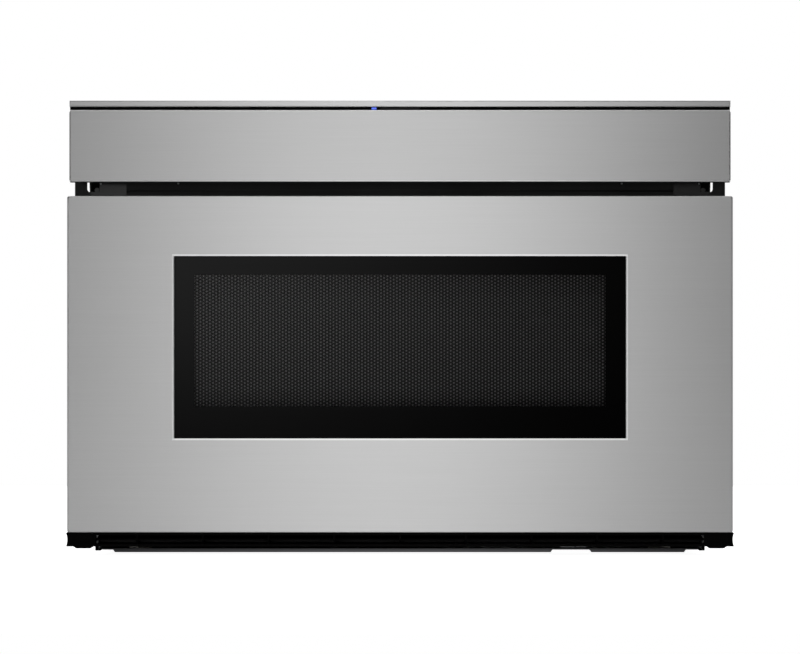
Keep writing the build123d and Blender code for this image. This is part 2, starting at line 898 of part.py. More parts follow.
def vent_trim():
    """The black intake moulding under the door: shelves, louvres, end blocks, lugs and hooks."""
    half = vent_width / 2
    nose = vent_nose
    tail = frame_front
    block = half - vent_end_block
    trim = slab(-half, half, nose, tail, vent_top - vent_shelf, vent_top)
    trim += slab(-half, half, nose, tail, vent_bottom, vent_bottom + vent_shelf)
    trim += slab(-half, half, tail - vent_back, tail, vent_bottom, vent_top)
    trim -= slab(
        -block, block, tail - vent_back - past, tail + past, vent_bottom + vent_shelf, vent_top - vent_shelf
    )
    middle = (vent_bottom + vent_top) / 2
    hollow = vent_height**2 / (8 * vent_end_hollow) + vent_end_hollow / 2
    for side in (-1, 1):
        trim += slab(
            *sorted((side * block, side * half)), nose + vent_block_set_back, tail, vent_bottom, vent_top
        )
        trim -= rod_back(side * (half + hollow - vent_end_hollow), nose - past, tail + past, middle, hollow)
        lug_out = half - vent_lug_from_end
        lug_in = lug_out - vent_lug_length
        lug = polygon(
            (side * lug_out, vent_bottom),
            (side * (lug_out - vent_lug_slope), vent_bottom - vent_lug_drop),
            (side * (lug_in + vent_lug_slope), vent_bottom - vent_lug_drop),
            (side * lug_in, vent_bottom),
        )
        trim += to_rear(lug, nose + vent_lug_set_back, vent_lug_depth)
        hook_out = block + past
        hook_stem = hook_out - vent_hook_stem
        hook_low = vent_bottom - vent_hook_drop
        hook = polygon(
            (side * hook_out, vent_bottom),
            (side * hook_out, hook_low),
            (side * (hook_out - vent_hook_width), hook_low),
            (side * (hook_out - vent_hook_width), hook_low + vent_hook_toe),
            (side * hook_stem, hook_low + vent_hook_toe),
            (side * hook_stem, vent_bottom),
        )
        trim += to_rear(hook, nose + vent_hook_set_back, vent_hook_depth)
    blade_front = nose + vent_blade_set_back
    blade_back = tail - vent_back + past
    blade = polygon(
        (blade_front, middle - vent_blade_sheet / 2),
        (blade_back, middle - vent_blade_sheet / 2 + vent_blade_rise),
        (blade_back, middle + vent_blade_sheet / 2 + vent_blade_rise),
        (blade_front, middle + vent_blade_sheet / 2),
    )
    trim += to_right(blade, -block, 2 * block)
    for x in in_row(vent_rib_count, vent_rib_pitch):
        trim += slab(
            x - vent_rib_sheet / 2,
            x + vent_rib_sheet / 2,
            blade_front - past,
            tail,
            vent_bottom + vent_shelf,
            vent_top - vent_shelf,
        )
    return [trim]


def panel_housing():
    """The plate behind the control panel, set in the frame's upper opening."""
    outline = frame_outline(-housing_half, housing_half, housing_bottom, opening_top)
    outline = fillet(outline.vertices().group_by(Axis.Y)[0], housing_corner)
    plate = to_rear(outline, frame_front, frame_sheet)
    low = housing_bottom + housing_slot_above
    half = housing_slot_length / 2
    for x in in_row(housing_slot_count, housing_slot_pitch):
        plate -= slab(
            x - half, x + half, frame_front - past, body_front + past, low, low + housing_slot_width
        )
    return [plate]


def hinge_brackets():
    """Bent brackets on the frame: a flange with two rivets, and an arm that carries a panel pin."""
    flange = frame_outline(hinge_flange_in, hinge_arm_out, hinge_low, hinge_high, hinge_flange_corner)
    arm_low = panel_pivot_z - hinge_arm_half
    arm_high = panel_pivot_z + hinge_arm_half
    face = frame_front - bracket_sheet
    bracket = to_rear(flange, face, bracket_sheet)
    arm = slab(hinge_arm_in, hinge_arm_out, panel_pivot_y, frame_front, arm_low, arm_high)
    arm += rod_across(hinge_arm_in, hinge_arm_out, panel_pivot_y, panel_pivot_z, hinge_arm_radius)
    arm -= slab(
        0,
        body_width,
        panel_pivot_y - 2 * hinge_arm_radius,
        panel_pivot_y - hinge_arm_nose,
        arm_low - past,
        arm_high + past,
    )
    bracket += arm
    eye = panel_pin_radius + running_gap
    bracket -= rod_across(hinge_arm_in - past, hinge_arm_out + past, panel_pivot_y, panel_pivot_z, eye)
    for x in (hinge_flange_in + rivet_from_side, hinge_arm_out - rivet_from_side):
        bracket += rod_back(x, face - rivet_height, face, hinge_low + rivet_from_low, rivet_radius)
    return both_sides(bracket)


# ---- Concealed control panel ----
def panel_outline(inset):
    """The panel body's side outline: square in front, cut back below so that it clears the frame."""
    turn = radians(panel_travel)
    reach = frame_front - bracket_sheet - panel_swing_gap - panel_pivot_y - inset
    rest_y = panel_rest_y - inset
    low = panel_bottom - panel_frame_drop + inset
    toe = panel_pivot_y + (reach - (panel_pivot_z - low) * sin(turn)) / cos(turn)
    heel = panel_pivot_z + ((rest_y - panel_pivot_y) * cos(turn) - reach) / sin(turn)
    nose = front + panel_skin_set_back + skin_sheet + inset
    high = panel_top - inset
    return polygon((nose, low), (toe, low), (rest_y, heel), (rest_y, high), (nose, high))


def fascia_skin():
    """The folded stainless face of the control panel, with a short return above and below."""
    nose = front + panel_skin_set_back
    low = panel_bottom + panel_skin_lift
    outline = frame_outline(nose, nose + panel_skin_return, low, panel_top, panel_skin_corner)
    outline -= frame_outline(
        nose + skin_sheet, nose + 2 * panel_skin_return, low + skin_sheet, panel_top - skin_sheet
    )
    return [to_right(outline, -panel_width / 2, panel_width)]


def fascia_frame():
    """The black moulded body behind the face: its rim shows at both ends and below."""
    body = to_right(panel_outline(0), -panel_half, 2 * panel_half)
    nose = front + panel_skin_set_back + skin_sheet
    rim_half = panel_width / 2 + panel_rim_reach
    rim = frame_outline(
        -rim_half, rim_half, panel_bottom - panel_frame_drop, panel_top - skin_sheet, panel_rim_corner
    )
    body += to_rear(rim, nose, panel_rim_depth)
    for level in (panel_bottom + panel_skin_lift, panel_top - skin_sheet):
        body -= slab(-panel_width, panel_width, front - past, glass_front, level, level + skin_sheet)
    well = panel_half - panel_end_wall
    above = panel_top + past
    body -= slab(
        -well, well, front + panel_well_front, panel_rest_y - panel_well_rear, panel_well_low, above
    )
    ledge = well + panel_glass_ledge
    seat = panel_top - touch_glass_thickness
    body -= slab(-ledge, ledge, glass_front, panel_rest_y - panel_glass_rear, seat, above)
    pocket = to_right(panel_outline(panel_wall), -well, 2 * well)
    pocket_top = panel_well_low - panel_floor_wall
    pocket &= slab(-panel_half, panel_half, front, frame_front, panel_bottom, pocket_top)
    body -= pocket
    for side in (-1, 1):
        ends = sorted((side * (panel_half + past), side * (panel_half - panel_pin_depth)))
        body -= rod_across(*ends, panel_pivot_y, panel_pivot_z, panel_pin_radius)
    return [body]


def touch_glass():
    half = panel_half - panel_end_wall + panel_glass_ledge - touch_glass_gap
    y_low = glass_front + touch_glass_gap
    y_high = panel_rest_y - panel_glass_rear - touch_glass_gap
    return [slab(-half, half, y_low, y_high, panel_top - touch_glass_thickness, panel_top)]


def touch_board():
    half = panel_half - touch_board_inset
    low = panel_well_low
    y_low = front + panel_well_front + touch_board_gap
    y_high = panel_rest_y - panel_well_rear - touch_board_gap
    board = slab(-half, half, y_low, y_high, low, low + circuit_sheet)
    glass_low = panel_top - touch_glass_thickness
    middle_y = (y_low + y_high) / 2
    for x in in_row(touch_spring_count, touch_spring_pitch):
        board += rod_up(x, middle_y, low + circuit_sheet, glass_low, touch_spring_radius)
    return [board]


def panel_pins():
    """Two steel pins pressed into the panel's ends that turn in the hinge brackets."""
    head_from = hinge_arm_out + touch_board_gap / 2
    pin = rod_across(panel_half - panel_pin_depth, head_from, panel_pivot_y, panel_pivot_z, panel_pin_radius)
    pin += rod_across(
        head_from, head_from + panel_pin_head, panel_pivot_y, panel_pivot_z, panel_pin_radius + panel_pin_head
    )
    return both_sides(pin)


# ---- Drawer: the door ----
def window_outline(widen):
    """The window's outline, wider by the given amount."""
    half = window_width / 2 + widen
    corner = window_corner + widen
    return frame_outline(-half, half, window_bottom - widen, window_top + widen, corner)


def window_cut(widen, depth_from, depth_to):
    """The window's outline between two depths behind the door face."""
    return to_rear(window_outline(widen), front + depth_from, depth_to - depth_from)


def folded_face(inset, front_y, back_y):
    """The door face as a solid with its front edges bevelled, smaller all round by an inset."""
    half = door_width / 2 - inset
    block = slab(-half, half, front_y, back_y, door_bottom + inset, door_top - inset)
    return chamfer(block.edges().group_by(Axis.Y)[0], door_edge_bevel / 2, door_edge_bevel)


def door_skin():
    """The folded stainless door face: bevelled edges, returns to the rear, and a rolled-in window lip."""
    back = front + door_skin_return
    skin = folded_face(0, front, back) - folded_face(skin_sheet, front + skin_sheet, back + past)
    skin += window_cut(window_bevel + window_lip, skin_sheet, window_bevel)
    skin -= window_cut(0, -past, window_bevel + past)
    slope = loft(
        [
            Pos(0, front + depth, 0) * (Plane.XZ * window_outline(window_bevel - depth))
            for depth in (0, window_bevel)
        ]
    )
    return [skin - slope]


def window_glass():
    """The flat outer pane, held behind the lip of the door face."""
    return [window_cut(window_bevel + window_seat, window_bevel, window_bevel + glass_thickness)]


def door_frame():
    """The black moulded frame inside the door: rim, window ring, ribs and a seat for the pane."""
    half = door_width / 2 - skin_sheet - snap_gap
    low = door_bottom + skin_sheet + snap_gap
    high = door_top - skin_sheet - snap_gap
    shell_front = front + window_bevel + glass_thickness
    shell_rear = shell_front + moulding_wall
    rib_rear = door_back - pan_return
    face = frame_outline(-half, half, low, high)
    rim = face - offset(face, -moulding_wall)
    body = to_rear(rim, front + door_edge_bevel + skin_sheet, door_skin_return - door_edge_bevel)
    body += to_rear(face, shell_front, moulding_wall)
    view = frame_outline(-view_half, view_half, view_low, view_high, view_corner)
    body += to_rear(offset(view, moulding_wall) - view, shell_front, rib_rear - shell_front)
    body -= to_rear(view, front, door_depth)
    half_rib = rib_sheet / 2
    rim_low = low + moulding_wall
    rim_high = high - moulding_wall
    for place in (door_width / 2 - door_rib_from_side, view_half + door_rib_from_view):
        rib = slab(place - half_rib, place + half_rib, shell_rear, rib_rear, rim_low, rim_high)
        for side in both_sides(rib):
            body += side
    for x in in_row(door_rib_count, door_rib_pitch):
        for rib_low, rib_high in (
            (rim_low, view_low - moulding_wall),
            (view_high + moulding_wall, rim_high),
        ):
            body += slab(x - half_rib, x + half_rib, shell_rear, rib_rear, rib_low, rib_high)
    for x, z in door_screw_places:
        body += rod_back(x, shell_rear, door_back - pan_sheet, z, screw_radius + door_boss_wall)
    for hole in screw_holes(door_screw_places, door_back - screw_length, door_back):
        body -= hole
    return [body]


def shield_mesh():
    """The perforated screen sheet behind the pane; its fine holes are too small to draw here."""
    half = mesh_width / 2 + mesh_edge
    y = door_back - pan_return
    return [slab(-half, half, y, y + mesh_sheet, mesh_bottom - mesh_edge, mesh_top + mesh_edge)]


def choke_inner():
    """The inner outline of the choke channel, which goes round the tub's open front."""
    half = tub_half + choke_margin
    low = cavity_floor + mouth_margin
    return frame_outline(-half, half, low, cavity_ceiling - mouth_margin, choke_corner)


def pane_opening(gap=0):
    """The opening for the inner pane, or the pane itself where a gap is given."""
    reach = pane_margin - gap
    half = mesh_width / 2 + reach
    return frame_outline(-half, half, mesh_bottom - reach, mesh_top + reach, pane_corner - gap)


def door_back_plate():
    """The inner door pan with the choke channel pressed forward round the oven mouth."""
    half = door_width / 2 - pan_edge_gap
    face = frame_outline(-half, half, door_bottom + pan_edge_gap, door_top - pan_edge_gap, pan_corner)
    pan = to_rear(face, door_back - pan_sheet, pan_sheet)
    rim_depth = pan_return - snap_gap
    pan += to_rear(face - offset(face, -pan_sheet), door_back - rim_depth, rim_depth)
    inner = choke_inner()
    outer = offset(inner, choke_width)
    trough = offset(outer, pan_sheet) - offset(inner, -pan_sheet)
    depth = pan_return - mesh_sheet - past
    pan += to_rear(trough, door_back - depth, depth)
    pan -= to_rear(outer - inner, door_back - depth + pan_sheet, depth)
    pan -= to_rear(pane_opening(), door_back - pan_sheet - past, pan_sheet + 2 * past)
    for hole in screw_holes(door_screw_places, door_back - pan_sheet - past, door_back + past):
        pan -= hole
    return [pan]


def choke_cover():
    """The flush plastic ring that closes the choke channel."""
    inner = choke_inner()
    ring = offset(inner, choke_width - running_gap) - offset(inner, running_gap)
    return [to_rear(ring, door_back - choke_cover_sheet, choke_cover_sheet)]


def inner_pane():
    """The thin clear pane on the oven side of the screen."""
    return [to_rear(pane_opening(running_gap), door_back - inner_pane_thickness, inner_pane_thickness)]


def door_screws():
    """Pan head screws through the inner pan into the bosses of the door frame."""
    return [rear_screw(x, door_back, z) for x, z in door_screw_places]


def door_brackets():
    """The bent steel brackets that hang the door and tub on the slides."""
    low = slide_centre_height - door_bracket_height / 2
    high = slide_centre_height + door_bracket_height / 2
    flange = slab(
        rack_inside,
        slide_inside,
        door_back,
        door_back + bracket_sheet,
        low - door_bracket_flange,
        high + door_bracket_flange,
    )
    tail = slide_front + door_bracket_reach
    leg = slab(slide_inside - bracket_sheet, slide_inside, door_back, tail, rack_top + running_gap, high)
    return both_sides(flange + leg)


def interlock_prongs():
    """Two moulded tongues on the door that press the interlock switches when the drawer is shut."""
    tongues = []
    for x in prong_x:
        half = prong_width / 2
        root_half = prong_root_width / 2
        low = prong_z - prong_root_height / 2
        high = low + prong_root_height
        root = slab(x - root_half, x + root_half, door_back, door_back + prong_root_sheet, low, high)
        tongue = slab(
            x - half,
            x + half,
            door_back,
            plunger_tip - running_gap,
            prong_z - prong_height / 2,
            prong_z + prong_height / 2,
        )
        tongue = chamfer(tongue.edges().group_by(Axis.Y)[-1].filter_by(Axis.X), prong_chamfer)
        tongues.append(root + tongue)
    return tongues


# ---- Drawer: the tub ----
def tub_block(inset, floor, top):
    """The tub's outside smaller by an inset, with its two rear corners round and its front open."""
    block = slab(-tub_half + inset, tub_half - inset, door_back - past, tub_rear - inset, floor, top)
    return fillet(block.edges().filter_by(Axis.Z).group_by(Axis.Y)[-1], tub_corner - inset)


def drawer_tub():
    """The drawer's painted steel walls and floor, open above, with a hemmed rim; the door is its front."""
    tub = tub_block(0, tub_floor, tub_top)
    hem = tub_block(0, tub_top - tub_hem, tub_top)
    tub -= tub_block(tub_sheet, tub_floor + tub_sheet, tub_top + past)
    tub += hem - tub_block(tub_hem / 2, tub_floor, tub_top + past)
    tub -= slab(-cavity_half, cavity_half, door_back - 2 * past, door_back, 0, cavity_ceiling)
    for x in in_row(tub_rib_count, tub_rib_pitch):
        half = tub_rib_width / 2
        tub += slab(
            x - half,
            x + half,
            door_back + tub_rib_inset,
            tub_rear - tub_rib_inset,
            tub_floor - tub_rib_drop,
            tub_floor,
        )
    return [tub]


def tub_tray():
    """The flat ceramic glass plate that lies on the tub's floor."""
    inset = tub_sheet + tray_edge_gap
    half = tub_half - inset
    plate = slab(-half, half, door_back + tray_edge_gap, tub_rear - inset, tub_floor + tub_sheet, tray_top)
    plate = fillet(plate.edges().filter_by(Axis.Z).group_by(Axis.Y)[-1], tub_corner - inset)
    return [chamfer(plate.edges().group_by(Axis.Z)[-1], tray_chamfer)]


# ---- Telescopic slides ----
def slide_section(web, sheet, half_height, lip, strip):
    """A C-shaped member drawn from its web at X = web, with a strip of ball race above and below."""
    facing = -1 if lip < web else 1
    outline = frame_outline(*sorted((web, web + facing * sheet)), -half_height, half_height)
    middle = (web + lip) / 2 + facing * ball_strip_shift
    for side in (-1, 1):
        outline += frame_outline(
            *sorted((web, lip)), *sorted((side * (half_height - sheet), side * half_height))
        )
        if strip:
            outline += frame_outline(
                middle - ball_strip / 2,
                middle + ball_strip / 2,
                *sorted((side * half_height, side * (half_height + strip))),
            )
    return Pos(0, slide_centre_height) * outline


def slide_outers():
    section = slide_section(slide_outside, slide_sheet, slide_height / 2, slide_inside + slide_lip_gap, 0)
    return both_sides(to_rear(section, slide_front, slide_length))


def slide_middles():
    """The middle members, which run half as far as the drawer."""
    web = slide_outside - slide_sheet - slide_web_gap
    half_height = slide_height / 2 - slide_sheet - ball_room
    lip = slide_inside + slide_middle_lip_gap
    section = slide_section(web, slide_inner_sheet, half_height, lip, ball_room - running_gap)
    return both_sides(to_rear(section, slide_front, slide_length - slide_middle_short))


def slide_inners():
    """The inner members, which carry the racks and the door brackets."""
    half_height = slide_height / 2 - slide_sheet - 2 * ball_room - slide_inner_sheet
    lip = slide_inside + slide_inner_lip
    section = slide_section(slide_inside, slide_inner_sheet, half_height, lip, ball_room - running_gap)
    return both_sides(to_rear(section, slide_front, slide_length))


def slide_plates():
    """Bent plates on the base that hold the outer slide members beside the case walls."""
    plates = []
    side = slide_outside + bracket_sheet
    for place in (slide_front + slide_plate_from_front, slide_rear - slide_plate_from_rear):
        end = place + slide_plate_length
        wall = slab(slide_outside, side, place, end, base_top, slide_high)
        foot = slab(slide_outside - slide_plate_foot, side, place, end, base_top, base_top + bracket_sheet)
        plates += both_sides(wall + foot)
    return plates


def support_brackets():
    """Everything bent from plate that stands on the base: the oven's portals and the slide plates."""
    return cavity_portals() + slide_plates()


# ---- Rack and pinion drive ----
def involute(base_radius, radius):
    """The angle that an involute has turned through, in radians, where it reaches a radius."""
    unwound = sqrt(max(radius**2 / base_radius**2 - 1, 0))
    return unwound - atan2(unwound, 1)


def gear_outline(teeth, module, bore):
    """A spur gear's outline with involute flanks, a tooth centred on the local X axis."""
    pitch = module * teeth / 2
    base_radius = pitch * cos(radians(gear_pressure_angle))
    tip = pitch + module
    root = pitch - gear_dedendum * module
    start = max(base_radius, root)
    half_tooth = pi / (2 * teeth) - tooth_slack / (2 * pitch) + involute(base_radius, pitch)
    radii = [start + (tip - start) * step / 3 for step in range(4)]
    flank = [(radius, half_tooth - involute(base_radius, radius)) for radius in radii]
    foot = (root, flank[0][1] + tooth_slack / pitch)
    corners = []
    for tooth in range(teeth):
        centre = 2 * pi * tooth / teeth
        rising = [(radius, centre - angle) for radius, angle in [foot] + flank]
        falling = [(radius, centre + angle) for radius, angle in reversed([foot] + flank)]
        corners += [(radius * cos(angle), radius * sin(angle)) for radius, angle in rising + falling]
    return polygon(*corners) - Circle(bore)


def racks():
    """Toothed bars beside the slides: straight flanks, a tooth centred over the pinion at rest."""
    pitch = pi * pinion_module
    lean = tan(radians(gear_pressure_angle))
    half_tooth = pitch / 4 - tooth_slack / 2
    addendum = rack_addendum * pinion_module
    dedendum = rack_dedendum * pinion_module
    root_z = rack_pitch_z + dedendum
    first = -int((pinion_y - slide_front - rack_plain_end) / pitch)
    last = int((slide_rear - pinion_y - rack_plain_end) / pitch)
    corners = [(slide_rear, rack_top), (slide_front, rack_top), (slide_front, root_z)]
    for tooth in range(first, last + 1):
        y = pinion_y + tooth * pitch
        at_root = half_tooth + dedendum * lean
        at_tip = half_tooth - addendum * lean
        tip_z = rack_pitch_z - addendum
        corners += [(y - at_root, root_z), (y - at_tip, tip_z), (y + at_tip, tip_z), (y + at_root, root_z)]
    corners.append((slide_rear, root_z))
    return both_sides(to_right(polygon(*corners), rack_inside, rack_width))


def gear_across(outline, x_middle, width, y, turn):
    """A gear on an axis along X at the shaft's height, turned from a tooth pointing to the rear."""
    return Pos(0, y, pinion_z) * to_right(Rot(0, 0, turn) * outline, x_middle - width / 2, width)


def pinions():
    """The two steel pinions under the racks, a gap between teeth uppermost."""
    outline = gear_outline(pinion_teeth, pinion_module, shaft_radius)
    middle = (rack_inside + slide_inside) / 2
    return both_sides(gear_across(outline, middle, pinion_width, pinion_y, 90 + 180 / pinion_teeth))


def pinion_shaft():
    """The cross shaft that keeps both sides of the drawer level."""
    end = slide_inside + shaft_past_pinion
    return [rod_across(-end, end, pinion_y, pinion_z, shaft_radius)]


def drive_gear():
    """The large moulded gear on the cross shaft, with a hub on the motor's side."""
    outline = gear_outline(drive_gear_teeth, drive_module, shaft_radius)
    hub_end = drive_gear_x + drive_hub_length
    hub = rod_across(drive_gear_x, hub_end, pinion_y, pinion_z, shaft_radius + drive_hub_wall)
    hub -= rod_across(drive_gear_x - past, hub_end + past, pinion_y, pinion_z, shaft_radius)
    return [gear_across(outline, drive_gear_x, drive_gear_width, pinion_y, 0) + hub]


def motor_gear():
    """The small gear on the motor's shaft, a gap facing the tooth of the drive gear."""
    outline = gear_outline(motor_gear_teeth, drive_module, motor_shaft_radius)
    wheel = gear_across(outline, drive_gear_x, drive_gear_width, motor_y, 180 + 180 / motor_gear_teeth)
    start = drive_gear_x - drive_gear_width / 2
    return [wheel + rod_across(start, motor_face, motor_y, pinion_z, motor_shaft_radius)]


def shaft_bearings():
    """Bearing blocks on the base plate, with a flanged foot each, that carry the cross shaft."""
    blocks = []
    outer = rack_inside - bearing_gap
    inner = outer - bearing_width
    y_low = pinion_y - bearing_radius
    y_high = pinion_y + bearing_radius
    for side in (-1, 1):
        near, far, toe = (side * x for x in (inner, outer, inner - bearing_toe))
        level = floor_under(*sorted((toe, far)))
        block = slab(*sorted((near, far)), y_low, y_high, level, pinion_z)
        block += rod_across(*sorted((near, far)), pinion_y, pinion_z, bearing_radius)
        block += slab(*sorted((toe, far)), y_low, y_high, level, level + bearing_foot)
        block -= rod_across(-body_half, body_half, pinion_y, pinion_z, shaft_radius + shaft_fit)
        blocks.append(block)
    return blocks


def motor_bracket():
    """The bent plate on the base that the drive motor's face is screwed to."""
    reach = motor_radius + motor_plate_margin
    y_low = motor_y - reach
    y_high = motor_y + reach
    behind = motor_face + bracket_sheet
    plate = slab(motor_face, behind, y_low, y_high, base_top, pinion_z + reach)
    plate += slab(
        motor_face, motor_face + motor_plate_foot, y_low, y_high, base_top, base_top + bracket_sheet
    )
    plate -= rod_across(
        motor_face - past, behind + past, pinion_y, pinion_z, shaft_radius + motor_plate_hole_gap
    )
    return [plate - rod_across(motor_face - past, behind + past, motor_y, pinion_z, motor_boss_radius)]


def drive_motor():
    """The round geared motor that drives the drawer."""
    start = motor_face + bracket_sheet
    end = start + motor_length
    body = rod_across(start, end, motor_y, pinion_z, motor_radius)
    body = fillet(body.edges().group_by(Axis.X)[-1], motor_round)
    body += rod_across(end, end + motor_boss_length, motor_y, pinion_z, motor_boss_radius)
    body -= rod_across(
        start - past, start + motor_boss_length, motor_y, pinion_z, motor_shaft_radius + running_gap
    )
    return [body]


# ---- Microwave supply ----
def feed_opening(z_low, z_high):
    """The opening through which the duct feeds the dome."""
    half = feed_width / 2
    return slab(-half, half, dome_y - feed_length / 2, dome_y + feed_length / 2, z_low, z_high)


def waveguide():
    """The rectangular duct that leads from the magnetron to the opening over the stirrer."""
    low = dome_roof
    half = guide_width / 2
    wall = guide_wall
    start = dome_y - guide_ahead_of_feed
    duct = slab(-half, half, start, guide_rear, low, guide_top)
    duct -= slab(-half + wall, half - wall, start + wall, guide_rear - wall, low + wall, guide_top - wall)
    flange = half + guide_flange
    duct += slab(-flange, flange, start, dome_y + guide_flange_rear, low, low + wall)
    duct -= feed_opening(low - past, low + wall + past)
    duct -= rod_up(0, bay_middle, low - past, low + wall + past, antenna_radius + antenna_gap)
    shaft_hole = stirrer_shaft_radius + stirrer_hole_gap
    duct -= rod_up(0, dome_y, guide_top - wall - past, guide_top + past, shaft_hole)
    return [duct]


def magnetron():
    """The valve with its yoke, cooling fins and magnets; the antenna reaches up into the duct."""
    top = dome_roof
    bottom = top - magnetron_height
    half = magnetron_width / 2
    y_low = bay_middle - magnetron_depth / 2
    y_high = bay_middle + magnetron_depth / 2
    sheet = magnetron_yoke
    body = slab(-half, half, y_low, y_high, bottom, top)
    body -= slab(-half - past, half + past, y_low + sheet, y_high - sheet, bottom + sheet, top - sheet)
    body += rod_up(0, bay_middle, bottom + sheet / 2, top - sheet / 2, anode_radius)
    for level in (bottom + sheet, top - sheet - magnet_height):
        body += rod_up(0, bay_middle, level, level + magnet_height, magnet_radius)
    for step in range(fin_count):
        z = top - fin_below_top + step * fin_pitch
        body += slab(-half + sheet, half - sheet, y_low + sheet / 2, y_high - sheet / 2, z, z + fin_sheet)
    filter_top = bottom + sheet / 2
    body += slab(
        -filter_width / 2,
        filter_width / 2,
        bay_middle - filter_depth / 2,
        bay_middle + filter_depth / 2,
        filter_top - filter_height,
        filter_top,
    )
    body += rod_up(0, bay_middle, top - sheet / 2, top + antenna_reach, antenna_radius)
    return [body]


def stirrer_motor():
    """The small synchronous motor on top of the duct that turns the stirrer."""
    body = rod_up(0, dome_y, guide_top, guide_top + stirrer_motor_height, stirrer_motor_radius)
    body = fillet(body.edges().group_by(Axis.Z)[-1], motor_round)
    tab = stirrer_motor_tab / 2
    tab_half = stirrer_motor_tab_width / 2
    body += slab(-tab, tab, dome_y - tab_half, dome_y + tab_half, guide_top, guide_top + light_sheet)
    socket = guide_top + stirrer_socket
    return [body - rod_up(0, dome_y, guide_top - past, socket, stirrer_shaft_radius + running_gap)]


def stirrer_blade():
    """The aluminium stirrer: a shaft, a hub and four arms with bent tips."""
    level = cavity_ceiling + stirrer_above_ceiling
    low = level - stirrer_hub_height / 4
    shaft_top = guide_top + stirrer_socket - running_gap
    blade = rod_up(0, dome_y, low, shaft_top, stirrer_shaft_radius)
    blade += rod_up(0, dome_y, low, low + stirrer_hub_height, stirrer_hub_radius)
    half = stirrer_arm_width / 2
    slot = stirrer_arm_slot_width / 2
    for step in range(stirrer_arm_count):
        arm = slab(stirrer_arm_root, stirrer_arm_reach, -half, half, level, level + light_sheet)
        arm -= slab(stirrer_arm_slot_from, stirrer_arm_slot_to, -slot, slot, level - past, level + 2 * past)
        bent = Box(stirrer_tip_length, stirrer_arm_width, light_sheet)
        tip = Pos(stirrer_arm_reach - stirrer_tip_length / 4, 0, level) * Rot(0, -stirrer_tip_angle, 0) * bent
        blade += Pos(0, dome_y, 0) * Rot(0, 0, step * 360 / stirrer_arm_count) * (arm + tip)
    return [blade]


def stirrer_cover():
    """The flat cover under the dome that lets the waves through and keeps splashes out."""
    half = dome_size / 2 + stirrer_cover_margin
    low = cavity_ceiling - stirrer_cover_sheet
    cover = slab(-half, half, dome_y - half, dome_y + half, low, cavity_ceiling)
    return [fillet(cover.edges().filter_by(Axis.Z), stirrer_cover_corner)]


def transformer():
    """The supply transformer: a laminated core with a welded foot, and its two coils."""
    x, y, z = transformer_x, bay_middle, base_top
    half = core_width / 2
    rear_face = y + core_depth / 2
    front_face = y - core_depth / 2
    body = slab(x - half, x + half, front_face, rear_face, z, z + core_height)
    window_in = core_middle_limb / 2
    window_out = window_in + core_window_width
    low = z + core_window_low
    high = z + core_window_high
    for left, right in ((-window_out, -window_in), (window_in, window_out)):
        body -= slab(x + left, x + right, front_face - past, rear_face + past, low, high)
    half_width = transformer_foot_width / 2
    half_depth = transformer_foot_depth / 2
    body += slab(
        x - half_width, x + half_width, y - half_depth, y + half_depth, z, z + transformer_foot_sheet
    )
    for dx in (-1, 1):
        for dy in (-1, 1):
            body -= rod_up(
                x + dx * (half_width - transformer_hole_from_side),
                y + dy * (half_depth - transformer_hole_from_end),
                z - past,
                z + transformer_foot_sheet + past,
                transformer_foot_hole,
            )
    coil_half = window_out - coil_fit
    split = low + coil_fit + coil_low_height
    coils = slab(-coil_half, coil_half, -coil_low_depth / 2, coil_low_depth / 2, low + coil_fit, split)
    coils += slab(
        -coil_half, coil_half, -coil_high_depth / 2, coil_high_depth / 2, split + coil_split, high - coil_fit
    )
    coils = Pos(x, y, 0) * coils
    return [body + fillet(coils.edges().filter_by(Axis.Z), coil_corner)]


def capacitor():
    """The oval high voltage capacitor in its strap, standing on the base plate."""
    x, y = capacitor_x, bay_middle
    half = capacitor_width / 2
    strap_out = half + strap_sheet
    toe = x - half - strap_foot
    base = floor_under(toe, x + strap_out)
    top = base + capacitor_height
    can = Pos(x, y, base) * extrude(SlotOverall(capacitor_width, capacitor_depth), amount=capacitor_height)
    can += Pos(x, y, base + strap_low) * extrude(
        SlotOverall(2 * strap_out, capacitor_depth + 2 * strap_sheet), amount=strap_height
    )
    tab = strap_height / 2
    can += slab(toe, x - half + 2 * strap_sheet, y - tab, y + tab, base, base + light_sheet)
    riser_top = base + strap_low + tab
    can += slab(x - strap_out + touch_glass_gap, x - half + past, y - tab, y + tab, base, riser_top)
    for dx in (-capacitor_post_spacing / 2, capacitor_post_spacing / 2):
        post_top = top + capacitor_post_height
        can += rod_up(x + dx, y, top, post_top, capacitor_post_radius)
        can += slab(
            x + dx - capacitor_tab_width / 2,
            x + dx + capacitor_tab_width / 2,
            y - switch_tab_sheet / 2,
            y + switch_tab_sheet / 2,
            post_top,
            post_top + capacitor_tab_height,
        )
    return [can]


# ---- Cooling ----
def fan_shroud():
    """The square plastic duct ring round the fan, fixed to the rear cover, with motor struts."""
    half = fan_shroud_half
    shroud = slab(fan_x - half, fan_x + half, fan_front, rear - case_sheet, fan_z - half, fan_z + half)
    shroud = fillet(shroud.edges().filter_by(Axis.Y), fan_shroud_corner)
    shroud -= rod_back(fan_x, fan_front - past, rear, fan_z, fan_opening + fan_shroud_wall)
    ring_back = fan_front + fan_strut
    hole = rod_back(fan_x, fan_front - past, ring_back + past, fan_z, fan_motor_radius)
    struts = rod_back(fan_x, fan_front, ring_back, fan_z, fan_motor_radius + fan_strut)
    for turn in (45, 135):
        strut = Box(fan_strut, fan_strut, 2 * (half + fan_shroud_wall))
        struts += Pos(fan_x, fan_front + fan_strut / 2, fan_z) * Rot(0, turn, 0) * strut
    return [shroud + (struts - hole)]


